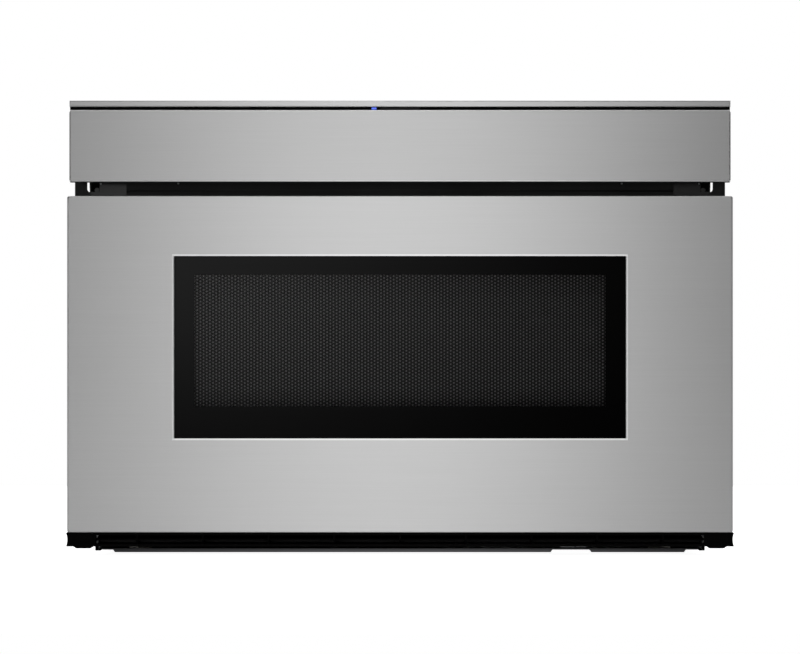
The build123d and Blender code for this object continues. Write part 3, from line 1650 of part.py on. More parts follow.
def fan_motor():
    start = fan_motor_rear - fan_motor_length
    body = rod_back(fan_x, start, fan_motor_rear, fan_z, fan_motor_radius)
    body = fillet(body.edges().group_by(Axis.Y)[0], fan_motor_round)
    socket = fan_spindle_radius + running_gap
    return [body - rod_back(fan_x, fan_motor_rear - fan_socket, fan_motor_rear + past, fan_z, socket)]


def fan_blade():
    """The axial fan: a domed hub and seven pitched blades on the motor's spindle."""
    hub_front = fan_motor_rear + fan_hub_gap
    hub_rear = hub_front + fan_hub_length
    hub = rod_back(fan_x, hub_front, hub_rear, fan_z, fan_hub_radius)
    hub = fillet(hub.edges().group_by(Axis.Y)[-1], fan_hub_round)
    spindle_front = fan_motor_rear - fan_socket + past
    wheel = hub + rod_back(fan_x, spindle_front, hub_front + past, fan_z, fan_spindle_radius)
    middle = (hub_front + hub_rear) / 2
    sections = (
        (fan_hub_radius - fan_hub_round + past, fan_blade_root_angle, fan_blade_root_chord),
        (fan_opening - fan_tip_gap, fan_blade_tip_angle, fan_blade_tip_chord),
    )
    blade = loft(
        [
            Pos(0, 0, radius) * Rot(0, 0, angle) * Rectangle(chord, fan_blade_sheet)
            for radius, angle, chord in sections
        ]
    )
    for step in range(fan_blade_count):
        wheel += Pos(fan_x, middle, fan_z) * Rot(0, step * 360 / fan_blade_count, 0) * blade
    return [wheel]


def air_duct():
    """The moulded duct that turns the fan's air towards the magnetron, open at both ends."""
    low = dome_roof - duct_below_yoke_top
    high = low + duct_height
    mouth_x = -magnetron_width / 2
    fan_end = fan_x - duct_past_fan
    mouth_y = bay_middle - magnetron_depth / 2 + duct_wall
    fan_y = cavity_rear + duct_oven_gap
    back = fan_motor_rear - fan_motor_length - duct_fan_gap
    fan_side = ((fan_end, back), (fan_end, fan_y), (duct_shoulder_x, fan_y))
    outline = polygon((mouth_x, mouth_y), (mouth_x, back), *fan_side)
    inside = offset(outline, -duct_wall)
    duct = Pos(0, 0, low) * extrude(outline, amount=duct_height)
    duct -= Pos(0, 0, low + duct_wall) * extrude(inside, amount=duct_height - 2 * duct_wall)
    for x, y in ((mouth_x, mouth_y), (fan_end, fan_y)):
        duct -= slab(
            x - duct_wall - past,
            x + duct_wall + past,
            y + duct_wall,
            back - duct_wall,
            low + duct_wall,
            high - duct_wall,
        )
    return [duct]


# ---- Electrics ----
def power_board():
    """The control and power board on its pillars above the oven."""
    low = cavity_roof + board_lift
    x_high = case_inside - board_side_gap
    x_low = x_high - board_width
    y_low = body_front + board_from_front
    y_high = y_low + board_length
    board = slab(x_low, x_high, y_low, y_high, low, low + circuit_sheet)
    for x in (x_low + board_pillar_inset, min(x_high, cavity_half) - board_pillar_inset):
        for y in (y_low + board_pillar_inset, y_high - board_pillar_inset):
            board += rod_up(x, y, cavity_roof, low, board_pillar_radius)
    top = low + circuit_sheet
    left = x_low + component_margin
    near = y_low + component_margin
    board += slab(left, left + coil_block_size, near, near + coil_block_size, top, top + coil_block_height)
    for step in range(2):
        x = left + coil_block_size + board_pillar_inset + step * relay_pitch
        board += slab(x, x + relay_width, near, near + relay_depth, top, top + relay_height)
    for step in range(3):
        x = left + can_radius + step * can_pitch
        board += rod_up(x, y_low + can_row, top, top + can_height, can_radius)
    sink_y = y_low + heat_sink_row
    sink_end = left + heat_sink_length
    board += slab(left, sink_end, sink_y, sink_y + heat_sink_sheet, top, top + heat_sink_height)
    plug_y = y_high - component_margin - plug_row_depth
    board += slab(left, left + plug_row_length, plug_y, plug_y + plug_row_depth, top, top + plug_row_height)
    return [board]


def interlock_switches():
    """The two door switches on their bracket behind the front frame."""
    cases = []
    y = plunger_tip + plunger_travel + switch_set_back
    back = y + switch_depth
    for x in prong_x:
        half = switch_width / 2
        rise = switch_height / 2
        bore = plunger_width / 2 + running_gap
        bore_rise = plunger_height / 2 + running_gap
        case = slab(x - half, x + half, y, back, prong_z - rise, prong_z + rise)
        case -= slab(
            x - bore, x + bore, y - past, y + switch_bore_depth, prong_z - bore_rise, prong_z + bore_rise
        )
        for z in in_row(3, switch_tab_pitch):
            case += slab(
                x - switch_tab_width / 2,
                x + switch_tab_width / 2,
                back,
                back + switch_tab_pitch,
                prong_z + z - switch_tab_sheet / 2,
                prong_z + z + switch_tab_sheet / 2,
            )
        cases.append(case)
    return cases


def switch_bracket():
    """Angle brackets on the front frame, one beside each switch."""
    brackets = []
    low = prong_z - switch_bracket_height / 2
    high = low + switch_bracket_height
    for x in prong_x:
        side = x + switch_width / 2
        plate = slab(side, side + light_sheet, body_front, plunger_tip + switch_bracket_reach, low, high)
        foot = slab(side, side + switch_bracket_foot, body_front, body_front + light_sheet, low, high)
        brackets.append(plate + foot)
    return brackets


def switch_plungers():
    """The two sprung plungers, standing out as when the door has left them."""
    plungers = []
    for x in prong_x:
        pin = slab(
            x - plunger_width / 2,
            x + plunger_width / 2,
            plunger_tip,
            plunger_tip + plunger_length,
            prong_z - plunger_height / 2,
            prong_z + plunger_height / 2,
        )
        plungers.append(fillet(pin.edges().group_by(Axis.Y)[0].filter_by(Axis.X), plunger_round))
    return plungers


def cavity_lamp():
    """The lamp in its holder beside the oven wall."""
    x = cavity_half + cavity_sheet
    cover = x + lamp_holder_depth
    half = lamp_holder_length / 2
    rise = lamp_holder_height / 2
    lamp = slab(x, cover, lamp_y - half, lamp_y + half, lamp_z - rise, lamp_z + rise)
    lamp -= slab(
        x - past,
        cover,
        lamp_y - lamp_window_length / 2,
        lamp_y + lamp_window_length / 2,
        lamp_z - lamp_window_height / 2,
        lamp_z + lamp_window_height / 2,
    )
    lamp += slab(cover, cover + light_sheet, lamp_y - half, lamp_y + half, lamp_z - rise, lamp_z + rise)
    reach = x + (case_inside - x) * lamp_reach_share
    return [lamp + rod_across(cover + light_sheet, reach, lamp_y, lamp_z, lamp_radius)]


def thermal_cutout():
    """The safety thermostat on the oven roof."""
    x, y, z = cutout_x, body_front + cutout_from_front, cavity_roof
    disc = rod_up(x, y, z, z + cutout_height, cutout_radius)
    tab = cutout_tab_length / 2
    tab_half = cutout_tab_width / 2
    disc += slab(x - tab, x + tab, y - tab_half, y + tab_half, z, z + light_sheet)
    top = z + cutout_height
    for dx in (-cutout_terminal_spacing / 2, cutout_terminal_spacing / 2):
        disc += slab(
            x + dx - cutout_terminal_width / 2,
            x + dx + cutout_terminal_width / 2,
            y - switch_tab_sheet / 2,
            y + switch_tab_sheet / 2,
            top,
            top + cutout_terminal_height,
        )
    return [disc]


def cord_bushing():
    """The round cable gland in the rear cover; the cable itself is left out."""
    start = rear_plate - bushing_inside
    end = rear_plate + bushing_outside
    bush = rod_back(cord_x, start, end, cord_z, bushing_radius - touch_glass_gap)
    bush += rod_back(cord_x, rear_plate + case_sheet, end - past, cord_z, bushing_radius + bushing_flange)
    return [bush - rod_back(cord_x, start - past, end + past, cord_z, cord_hole)]


def rear_screws():
    """Pan head screws round the rear cover."""
    return [rear_screw(x, rear_plate + case_sheet, z) for x, z in rear_screw_places]


pieces = {
    "base_plate": base_plate,
    "outer_case": outer_case,
    "rear_cover": rear_cover,
    "front_frame": front_frame,
    "oven_cavity": oven_cavity,
    "support_brackets": support_brackets,
    "top_trim": top_trim,
    "sensor_bar": sensor_bar,
    "status_light": status_light,
    "sensor_window": sensor_window,
    "vent_trim": vent_trim,
    "panel_housing": panel_housing,
    "hinge_brackets": hinge_brackets,
    "fascia_skin": fascia_skin,
    "fascia_frame": fascia_frame,
    "touch_glass": touch_glass,
    "touch_board": touch_board,
    "panel_pins": panel_pins,
    "door_skin": door_skin,
    "window_glass": window_glass,
    "door_frame": door_frame,
    "shield_mesh": shield_mesh,
    "door_back_plate": door_back_plate,
    "choke_cover": choke_cover,
    "inner_pane": inner_pane,
    "door_screws": door_screws,
    "interlock_prongs": interlock_prongs,
    "drawer_tub": drawer_tub,
    "tub_tray": tub_tray,
    "pinions": pinions,
    "pinion_shaft": pinion_shaft,
    "drive_gear": drive_gear,
    "motor_gear": motor_gear,
    "shaft_bearings": shaft_bearings,
    "motor_bracket": motor_bracket,
    "drive_motor": drive_motor,
    "waveguide": waveguide,
    "magnetron": magnetron,
    "stirrer_motor": stirrer_motor,
    "stirrer_blade": stirrer_blade,
    "stirrer_cover": stirrer_cover,
    "transformer": transformer,
    "capacitor": capacitor,
    "fan_shroud": fan_shroud,
    "fan_motor": fan_motor,
    "fan_blade": fan_blade,
    "air_duct": air_duct,
    "power_board": power_board,
    "interlock_switches": interlock_switches,
    "switch_bracket": switch_bracket,
    "switch_plungers": switch_plungers,
    "cavity_lamp": cavity_lamp,
    "thermal_cutout": thermal_cutout,
    "cord_bushing": cord_bushing,
    "rear_screws": rear_screws,
    "door_brackets": door_brackets,
    "slide_outers": slide_outers,
    "slide_middles": slide_middles,
    "slide_inners": slide_inners,
    "racks": racks,
}

os.makedirs("parts", exist_ok=True)
for name, make in pieces.items():
    solids = [solid for shape in make() for solid in shape.solids()]
    export_step(Compound(solids), os.path.join("parts", name + ".step"))
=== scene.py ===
"""A built-in microwave drawer: its finishes, and finer shapes for the pieces that the eye follows.

The front sheets, panes and tub of the CAD model are replaced by pieces with rolled edges and real
wall thickness, and a few small pieces are added. Every other piece keeps its shape.
"""
import math

import bmesh
import bpy
from mathutils import Matrix, Vector


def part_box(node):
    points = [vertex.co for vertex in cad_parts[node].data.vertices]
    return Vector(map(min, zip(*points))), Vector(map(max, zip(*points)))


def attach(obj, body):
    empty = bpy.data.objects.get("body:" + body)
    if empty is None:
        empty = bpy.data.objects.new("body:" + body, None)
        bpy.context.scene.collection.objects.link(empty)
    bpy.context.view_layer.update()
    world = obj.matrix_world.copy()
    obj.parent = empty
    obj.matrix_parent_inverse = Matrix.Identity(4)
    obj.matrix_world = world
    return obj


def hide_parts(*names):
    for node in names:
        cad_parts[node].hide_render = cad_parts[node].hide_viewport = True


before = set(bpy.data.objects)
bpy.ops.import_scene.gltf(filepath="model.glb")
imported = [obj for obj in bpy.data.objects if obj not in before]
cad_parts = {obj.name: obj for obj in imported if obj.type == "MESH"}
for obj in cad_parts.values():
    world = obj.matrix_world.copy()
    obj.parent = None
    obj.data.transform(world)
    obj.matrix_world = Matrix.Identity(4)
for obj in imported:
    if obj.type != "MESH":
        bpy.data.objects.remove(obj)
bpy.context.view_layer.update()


def mm(value):
    """Millimetres to metres."""
    return value / 1000.0


# ---------------------------------------------------------------- boxes of the CAD pieces, in metres
DOOR_LOW, DOOR_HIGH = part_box("door_skin")
PANE_LOW, PANE_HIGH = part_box("window_glass")
FACE_LOW, FACE_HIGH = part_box("fascia_skin")
TRIM_LOW, TRIM_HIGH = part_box("top_trim")
TUB_LOW, TUB_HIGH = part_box("drawer_tub")
TRAY_LOW, TRAY_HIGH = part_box("tub_tray")
SCREEN_LOW, SCREEN_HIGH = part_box("shield_mesh")
GLASS_LOW, GLASS_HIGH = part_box("touch_glass")
BAR_LOW, BAR_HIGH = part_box("sensor_bar")
FRAME_LOW, FRAME_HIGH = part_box("front_frame")
HOUSING_LOW, HOUSING_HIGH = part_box("panel_housing")

# ---------------------------------------------------------------- sizes, in metres
WELD = mm(0.01)  # points nearer than this are joined
TENTH = mm(0.1)  # the step in which depths are compared
LARGE_FACE = mm(20.0) * mm(20.0)
LONG_EDGE = mm(20.0)
SHARP_TURN = 1.2  # radians between two faces
FACING = 0.9  # how much of a face's normal lies along an axis
CORNER_STEPS = 6  # flat pieces in a round corner seen from the front

# the stainless sheet, and the narrow flat band kept beside a rounded edge
SHEET = mm(1.0)
EDGE_HOLD = mm(0.3)

# the drawer's face, and the lip round its pane
DOOR_ROLL = mm(1.1)
DOOR_CORNER = mm(2.0)
DOOR_BACK_CORNER = mm(1.0)
WINDOW_LIP = mm(8.0)
# width of the lighter band round the lip: a painted highlight
HIGHLIGHT_BAND_WIDTH = mm(1.3)
LIP_TURN = mm(0.3)
LIP_CORNER = mm(0.8)
FLANGE_WIDTH = mm(3.0)
FLANGE_CORNER = mm(3.8)
FLANGE_GAP = mm(0.2)
# width of the black ring that paints the shadow line inside the lip
SHADOW_LINE_WIDTH = mm(0.9)

# the pane, and the clear field in its black print
PANE_GROUND = mm(0.4)
PANE_CORNER = mm(3.0)
VIEW_WIDTH = mm(375.0)
VIEW_HEIGHT = mm(120.0)
VIEW_BOTTOM = DOOR_LOW[2] + mm(114.7)
VIEW_INSET = mm(1.0)

# the screen, with its field of holes and the plain border round it
HOLE_COLUMN_PITCH = mm(2.9)
HOLE_ROW_PITCH = mm(3.1)
HOLE_RADIUS = mm(0.85)
HOLE_DEPTH = mm(0.5)
FIELD_BACK = mm(0.1)
FIELD_OVERLAP = mm(0.02)
FIELD_SIDE_MARGIN = mm(0.2)
FIELD_END_MARGIN = mm(1.5)
FIELD_CORNER = mm(0.5)
SCREEN_CORNER = mm(3.0)
SCREEN_ROUND = mm(0.1)

# the panel's face, the strip across the top and the dark bar under it
FACE_FOLD = mm(0.7)
FACE_RIM_ROUND = mm(0.35)
# how far the lighter band reaches past a fold: a painted highlight
HIGHLIGHT_PAST_FOLD = mm(0.2)
TRIM_NOSE = mm(0.6)
BAR_END_GAP = mm(0.3)
BAR_END_DROP = mm(0.4)
BAR_END_ROUND = mm(0.4)
BAR_SHORT_EDGE = mm(3.0)

# small pieces in and beside the finger gap
HEM_WIDTH = mm(3.1)
HEM_ROUND = mm(0.6)
STRIP_OVERLAP = mm(4.0)
STRIP_ROUND = mm(0.2)
BRACKET_SHEET = mm(1.5)
PAD_NEAR = mm(276.3)
PAD_FAR = mm(284.2)
PAD_FOOT = mm(331.9)
PAD_HEIGHT = mm(12.0)
PAD_THICKNESS = mm(0.6)
PAD_ROUND = mm(0.25)
RIVET_RADIUS = mm(1.0)
RIVET_CROWN_RADIUS = RIVET_RADIUS * 0.85
RIVET_HEIGHT = mm(0.5)
RIVET_ROUND = RIVET_HEIGHT * 0.6
# each pair of rivets: distance from the middle, height, and how far its seat stands before the frame
RIVET_PLACES = (
    (mm(204.0), mm(339.8), 0.0),
    (mm(275.0), mm(339.4), BRACKET_SHEET - mm(0.1)),
)
# the plated flanges in the lower trim
LINER_SIDE = mm(277.2)
LINER_SHEET = mm(0.6)
LINER_ROUND = mm(0.15)
LINER_FRONT, LINER_BACK = mm(-300.0), mm(-280.0)
LINER_FOOT, LINER_TOP = mm(9.3), mm(17.6)

# tub, tray and touch glass
TUB_SHEET = mm(0.8)
TUB_CORNER = mm(12.0)
LEAST_CORNER = mm(1.0)
TUB_COVE = mm(8.0)
RIM_ROLL = mm(1.6)
RIM_DROP = mm(2.0)
TRAY_CORNER = mm(11.0)
GLASS_GROUND = mm(0.3)
GLASS_CORNER = mm(1.5)

# the touch glass's signs and clock
PRINT_THICKNESS = mm(0.03)
KEY_HEIGHT = mm(9.0)
KEY_PITCH = mm(20.0)
FIRST_DIGIT = mm(50.0)
# the signs without digits: sides, radius, turn in degrees, inner radius of a ring, place along the glass
KEY_SIGNS = (
    (3, mm(3.8), 180, 0.0, mm(-236.0)),
    (3, mm(3.8), 0, 0.0, mm(-208.0)),
    (24, mm(3.8), 0, mm(3.0), mm(-180.0)),
    (12, mm(1.2), 0, 0.0, mm(-180.0)),
    (4, mm(4.0), 45, 0.0, mm(-152.0)),
    (3, mm(3.8), -90, 0.0, mm(252.0)),
)
CLOCK_LEFT = mm(-60.0)
CLOCK_HALF = mm(2.6)
CLOCK_BAR = mm(0.9)
CLOCK_BAR_LENGTH = CLOCK_HALF * 1.6
CLOCK_DOT = mm(0.6)
CLOCK_DOT_PLACE = mm(17.0)
# the clock's digits, and their places from its left one
CLOCK_TIME = (("1", mm(0.0)), ("2", mm(10.0)), ("0", mm(24.0)), ("0", mm(34.0)))
# the seven bars of a digit: place across, place up, and whether it lies flat
CLOCK_BARS = {
    "a": (0, 1, True), "b": (1, 0.5, False), "c": (1, -0.5, False), "d": (0, -1, True),
    "e": (-1, -0.5, False), "f": (-1, 0.5, False), "g": (0, 0, True),
}
LIT_BARS = {"0": "abcdef", "1": "bc", "2": "abged"}

# the bands of a wave pattern repeat once a full turn, and a lamination is 0.5 mm thick
LAMINATION_SCALE = 1.0 / mm(0.5) / 6.283

# ---------------------------------------------------------------- camera, floor and light
CAMERA_DISTANCE = 3.5
CAMERA_HEIGHT = mm(207.7)
PICTURE_WIDTH_PX = 800
DOOR_WIDTH_PX = 666  # the drawer's front, in the picture
SENSOR_WIDTH_MM = 36.0
FAR_LIMIT = 100
FLOOR_REACH = 1.2
FLOOR_DROP = mm(0.5)
FLOOR_WHITE = 0.95
# the glow that the floor casts on the object: at its middle, at its sides, and how far out that is
POOL_LEVEL, FLOOR_GLOW, POOL_REACH = 0.6, 0.0, 0.42
# levels of the room's light, and the parts of the unit sphere over which each one fades
ROOM_AHEAD, ROOM_LEVEL, ROOM_FADE = 0.01, 0.75, (-0.65, -0.15)
STRIP_LEVEL, STRIP_REACH, STRIP_FADE = 1.7, 0.105, (-0.75, -0.6)
OVERHEAD_LEVEL, OVERHEAD_FADE = 0.25, (0.5, 1.0)
FLAG_LEFT, FLAG_RIGHT, FLAG_REACH = 1.8, 0.15, 0.07
FLAG_FOOT, FLAG_FOOT_FADE = 0.3, (-0.035, 0.02)
FLAG_HEIGHT_FADE, FLAG_DEPTH_FADE = (0.035, 0.07), (-0.97, -0.9)
# name, place, what it points at, width, depth and watts
SOFTBOXES = (
    ("top_softbox", (0, -0.4, 3.2), (0, 0, 0.2), 3.0, 2.0, 8.0),
    ("front_softbox", (0, -2.3, 2.1), (0, -0.3, 0.2), 2.6, 0.5, 5.5),
)


# ---------------------------------------------------------------- helpers for materials
def linear(hex_colour):
    """An sRGB hex colour as a linear RGBA tuple."""
    channels = [int(hex_colour[i:i + 2], 16) / 255 for i in (1, 3, 5)]
    return (*[c / 12.92 if c <= 0.04045 else ((c + 0.055) / 1.055) ** 2.4 for c in channels], 1.0)


def add(tree, kind, links=None, **values):
    """Add a node. links maps an input to an output socket, and values sets inputs or settings."""
    made = tree.nodes.new(kind)
    for name, value in values.items():
        if hasattr(made, name):
            setattr(made, name, value)
        else:
            made.inputs[name.replace("_", " ")].default_value = value
    for name, source in (links or {}).items():
        tree.links.new(source, made.inputs[name])
    return made


def surface(name, base, roughness, metallic=0.0, **shader_values):
    """Start a material: its shader with constant values, ready for patterns to be linked."""
    material = bpy.data.materials.new(name)
    material.use_nodes = True
    material.diffuse_color = linear(base)
    tree = material.node_tree
    shader = tree.nodes["Principled BSDF"]
    shader.inputs["Base Color"].default_value = linear(base)
    shader.inputs["Roughness"].default_value = roughness
    shader.inputs["Metallic"].default_value = metallic
    for key, value in shader_values.items():
        shader.inputs[key.replace("_", " ")].default_value = value
    return material, tree, shader


def object_place(tree, *scale):
    """Object coordinates, scaled so that one unit of a pattern is a real length."""
    coordinates = add(tree, "ShaderNodeTexCoord")
    mapping = add(tree, "ShaderNodeMapping", {"Vector": coordinates.outputs["Object"]})
    mapping.inputs["Scale"].default_value = scale
    return {"Vector": mapping.outputs["Vector"]}


def noise(tree, x_scale, y_scale, z_scale, detail=2.0):
    """The value of a noise with so many features to the metre along each axis."""
    place = object_place(tree, x_scale, y_scale, z_scale)
    return add(tree, "ShaderNodeTexNoise", place, Scale=1.0, Detail=detail).outputs["Fac"]


def tint(tree, value, dark, light, socket):
    """Link two hex colours to a socket, blended by a pattern's value."""
    ramp = add(tree, "ShaderNodeValToRGB", {"Fac": value})
    ramp.color_ramp.elements[0].color = linear(dark)
    ramp.color_ramp.elements[1].color = linear(light)
    tree.links.new(ramp.outputs["Color"], socket)
    return ramp.color_ramp


def roughen(tree, value, low, high, shader):
    """Link a range of roughness to a shader, spread by a pattern's value from 0 to 1."""
    ranged = add(tree, "ShaderNodeMapRange", {"Value": value})
    ranged.inputs["To Min"].default_value = low
    ranged.inputs["To Max"].default_value = high
    tree.links.new(ranged.outputs["Result"], shader.inputs["Roughness"])


def bump(tree, value, distance, strength, shader):
    """Link a pattern's value to a shader as small bumps, of a height in metres."""
    made = add(tree, "ShaderNodeBump", {"Height": value})
    made.inputs["Distance"].default_value = distance
    made.inputs["Strength"].default_value = strength
    tree.links.new(made.outputs["Normal"], shader.inputs["Normal"])


# ---------------------------------------------------------------- materials
def brushed_stainless(name, base, dark, light):
    """Stainless sheet, belt-brushed across its width: fine lines that pull each light up and down.

    Real brush lines are about 0.1 mm apart, too fine to show, so these are 0.8 mm apart and 90 mm long.
    """
    material, tree, shader = surface(name, base, 0.3, 1.0, Anisotropic=0.97, Anisotropic_Rotation=0.25)
    lines = noise(tree, 11, 1250, 1250, 3.0)
    blotch = noise(tree, 5, 9, 9)
    tint(tree, lines, dark, light, shader.inputs["Base Color"])
    both = add(tree, "ShaderNodeMath", {0: lines, 1: blotch}, operation="ADD")
    roughen(tree, both.outputs["Value"], 0.26, 0.30, shader)
    tangent = add(tree, "ShaderNodeTangent", direction_type="UV_MAP")
    tree.links.new(tangent.outputs["Tangent"], shader.inputs["Tangent"])
    bump(tree, lines, mm(0.004), 0.5, shader)
    return material


def powder_coat(name, base, light, roughness):
    """Sheet steel, powder coated and baked: a faint orange peel breaks the shine."""
    material, tree, shader = surface(name, base, roughness, Specular_IOR_Level=0.4)
    wide = noise(tree, 14, 14, 14, 3.0)
    tint(tree, wide, base, light, shader.inputs["Base Color"])
    roughen(tree, wide, roughness - 0.05, roughness + 0.08, shader)
    bump(tree, noise(tree, 450, 450, 450), mm(0.03), 0.35, shader)
    return material


def moulded(name, base, light, roughness, **values):
    """Injection moulded plastic with a fine spark-eroded grain, which keeps highlights broad and dull."""
    material, tree, shader = surface(name, base, roughness, IOR=1.49, **values)
    wide = noise(tree, 20, 20, 20, 3.0)
    tint(tree, wide, base, light, shader.inputs["Base Color"])
    roughen(tree, wide, roughness - 0.06, roughness + 0.06, shader)
    grain = add(tree, "ShaderNodeTexVoronoi", object_place(tree, 900, 900, 900), Scale=1.0)
    bump(tree, grain.outputs["Distance"], mm(0.04), 0.3, shader)
    return material


def bare_metal(name, base, light, roughness, spangle=0.0):
    """Bare or plated steel: metallic, a little uneven, with crystals of zinc where a size is given."""
    material, tree, shader = surface(name, base, roughness, 1.0)
    if spangle:
        crystals = object_place(tree, 1.0 / spangle, 1.0 / spangle, 1.0 / spangle)
        value = add(tree, "ShaderNodeTexVoronoi", crystals, Scale=1.0).outputs["Color"]
    else:
        value = noise(tree, 160, 160, 160)
    tint(tree, value, base, light, shader.inputs["Base Color"])
    roughen(tree, value, roughness - 0.08, roughness + 0.1, shader)
    bump(tree, value, mm(0.004), 0.12, shader)
    return material


def float_glass(name, base, roughness=0.03, **values):
    """Polished float glass: sharp reflections, with the faintest haze of handling."""
    material, tree, shader = surface(name, base, roughness, IOR=1.5, **values)
    roughen(tree, noise(tree, 25, 25, 25, 4.0), roughness, roughness + 0.03, shader)
    return material


def glowing_lens(name, dim, bright, strength):
    """Clear polycarbonate with a diode behind it, its glow a little uneven in small patches."""
    material, tree, shader = surface(name, dim, 0.2, Emission_Strength=strength)
    tint(tree, noise(tree, 300, 300, 300), dim, bright, shader.inputs["Emission Color"])
    return material


def ceramic_tray():
    """Rolled ceramic glass, opaque grey, with a fine speckle in the body and a gloss surface."""
    material, tree, shader = surface("grey_ceramic_glass", "#8E9090", 0.12, IOR=1.52, Coat_Weight=0.3)
    speck = tint(tree, noise(tree, 700, 700, 700, 1.0), "#818383", "#9C9E9E", shader.inputs["Base Color"])
    speck.elements[0].position = 0.42
    speck.elements[1].position = 0.62
    return material


def circuit_board():
    """Glass epoxy board under green solder resist, with the copper tracks just showing through."""
    material, tree, shader = surface("glass_epoxy_board", "#1F5A34", 0.35, Coat_Weight=0.4)
    tracks = add(tree, "ShaderNodeTexBrick", object_place(tree, 1, 1, 1), Scale=160.0, Mortar_Size=0.012)
    for socket, colour in (("Color1", "#1C5330"), ("Color2", "#22623A"), ("Mortar", "#3B8A50")):
        tracks.inputs[socket].default_value = linear(colour)
    tree.links.new(tracks.outputs["Color"], shader.inputs["Base Color"])
    return material


def laminated_core():
    """Varnished transformer laminations: 0.5 mm sheets on edge, dark brown."""
    material, tree, shader = surface("varnished_laminations", "#3A2A20", 0.45, 0.3)
    sheets = add(
        tree, "ShaderNodeTexWave", object_place(tree, 0, 1, 0),
        Scale=LAMINATION_SCALE, bands_direction="Y", Distortion=0.4,
    ).outputs["Fac"]
    tint(tree, sheets, "#2B1F18", "#4A372A", shader.inputs["Base Color"])
    bump(tree, sheets, mm(0.08), 0.5, shader)
    return material


STAINLESS = brushed_stainless("brushed_stainless", "#C2C2C2", "#BFBFBF", "#C6C6C6")
PANEL_STAINLESS = brushed_stainless("brushed_stainless_panel", "#BABABA", "#B6B6B6", "#BEBEBE")
# folds and lips get a lighter copy of the stainless: a painted highlight along those edges
HIGHLIGHT_STAINLESS = brushed_stainless("stainless_painted_highlight", "#E6E6E6", "#E2E2E2", "#EAEAEA")
BLACK_PAINT = powder_coat("black_powder_coat", "#141414", "#1B1B1B", 0.42)
BRACKET_PAINT = powder_coat("black_satin_paint", "#262626", "#2E2E2E", 0.22)
BASE_PAINT = powder_coat("dark_grey_powder_coat", "#4C4C4E", "#565658", 0.5)
OVEN_PAINT = powder_coat("grey_oven_paint", "#B2B4B5", "#BEC0C1", 0.35)
TUB_PAINT = powder_coat("grey_baked_enamel", "#B8BABB", "#C4C6C7", 0.3)
SCREEN_PAINT = powder_coat("black_painted_screen", "#282828", "#2E2E2E", 0.6)
OVEN_SHOWING = powder_coat("oven_lining_in_shade", "#A0A0A0", "#AAAAAA", 0.7)
BLACK_PLASTIC = moulded("black_moulded_abs", "#070707", "#0C0C0C", 0.5, Specular_IOR_Level=0.2)
TRIM_PLASTIC = moulded("matt_black_moulded_pbt", "#020202", "#040404", 0.6, Specular_IOR_Level=0.04)
GREY_PLASTIC = moulded("grey_moulded_polypropylene", "#5B5D5F", "#66686A", 0.45)
WHITE_PLASTIC = moulded("white_moulded_nylon", "#D2D0C8", "#DEDCD5", 0.4)
WHITE_PRINT = moulded("white_screen_print", "#D8D8D8", "#E2E2E2", 0.6)
MICA = moulded("pressed_mica_sheet", "#BDB6A6", "#CFC9BB", 0.55)
ZINC_SHEET = bare_metal("galvanised_sheet", "#B0B3B5", "#BFC2C4", 0.38, mm(9.0))
ZINC_PLATE = bare_metal("zinc_plated_steel", "#B4B6B8", "#C6C8CA", 0.28)
DULL_ZINC = bare_metal("dull_zinc_plated_steel", "#E4E6E7", "#F2F3F4", 0.7)
GEAR_STEEL = bare_metal("cut_steel", "#7C7D7F", "#8E8F91", 0.35)
ALUMINIUM = bare_metal("stamped_aluminium", "#CDCFD1", "#DADCDD", 0.3)
BLACK_GLASS = float_glass("black_printed_float_glass", "#020202", Specular_IOR_Level=0.1)
SMOKED_GLASS = float_glass("smoked_float_glass", "#010101", Specular_IOR_Level=0.3, Alpha=0.26)
CLEAR_GLASS = float_glass("clear_float_glass", "#E6ECEA", 0.02, Transmission_Weight=1.0)
TRAY_GLASS = ceramic_tray()
LENS = glowing_lens("blue_polycarbonate", "#2A3FC4", "#6C86F2", 1.1)
LIT_DIGITS = glowing_lens("lit_digits", "#9CC4F8", "#BFDCFF", 1.6)
BOARD = circuit_board()
CORE = laminated_core()

# the CAD pieces that keep their shape
NODE_FINISHES = {
    BLACK_PAINT: ["front_frame", "panel_housing"],
    BRACKET_PAINT: ["hinge_brackets"],
    BASE_PAINT: ["base_plate", "support_brackets"],
    OVEN_PAINT: ["oven_cavity", "door_back_plate"],
    TRIM_PLASTIC: ["vent_trim", "sensor_bar"],
    BLACK_PLASTIC: [
        "fascia_frame", "door_frame", "interlock_prongs", "fan_shroud", "air_duct", "fan_blade",
        "cord_bushing",
    ],
    GREY_PLASTIC: ["choke_cover"],
    WHITE_PLASTIC: [
        "shaft_bearings", "interlock_switches", "switch_plungers", "thermal_cutout", "cavity_lamp",
        "drive_gear",
    ],
    MICA: ["stirrer_cover"],
    ZINC_SHEET: ["outer_case", "rear_cover", "waveguide", "capacitor"],
    ZINC_PLATE: [
        "slide_outers", "slide_middles", "slide_inners", "rear_screws", "door_screws", "pinion_shaft",
        "panel_pins", "motor_bracket", "switch_bracket", "door_brackets", "magnetron", "drive_motor",
        "fan_motor", "stirrer_motor",
    ],
    GEAR_STEEL: ["racks", "pinions", "motor_gear"],
    ALUMINIUM: ["stirrer_blade"],
    BLACK_GLASS: ["sensor_window"],
    CLEAR_GLASS: ["inner_pane"],
    LENS: ["status_light"],
    BOARD: ["power_board", "touch_board"],
    CORE: ["transformer"],
}


def dress_nodes():
    """Give every CAD piece that keeps its shape its finish."""
    for material, names in NODE_FINISHES.items():
        for name in names:
            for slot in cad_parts[name].material_slots:
                slot.link = "OBJECT"
                slot.material = material


# ---------------------------------------------------------------- helpers for shapes
def block(mesh, low, high):
    """Add a box between two corners."""
    size = Vector(high) - Vector(low)
    middle = (Vector(high) + Vector(low)) / 2
    place = Matrix.Translation(middle) @ Matrix.Diagonal((*size, 1.0))
    bmesh.ops.create_cube(mesh, size=1.0, matrix=place)


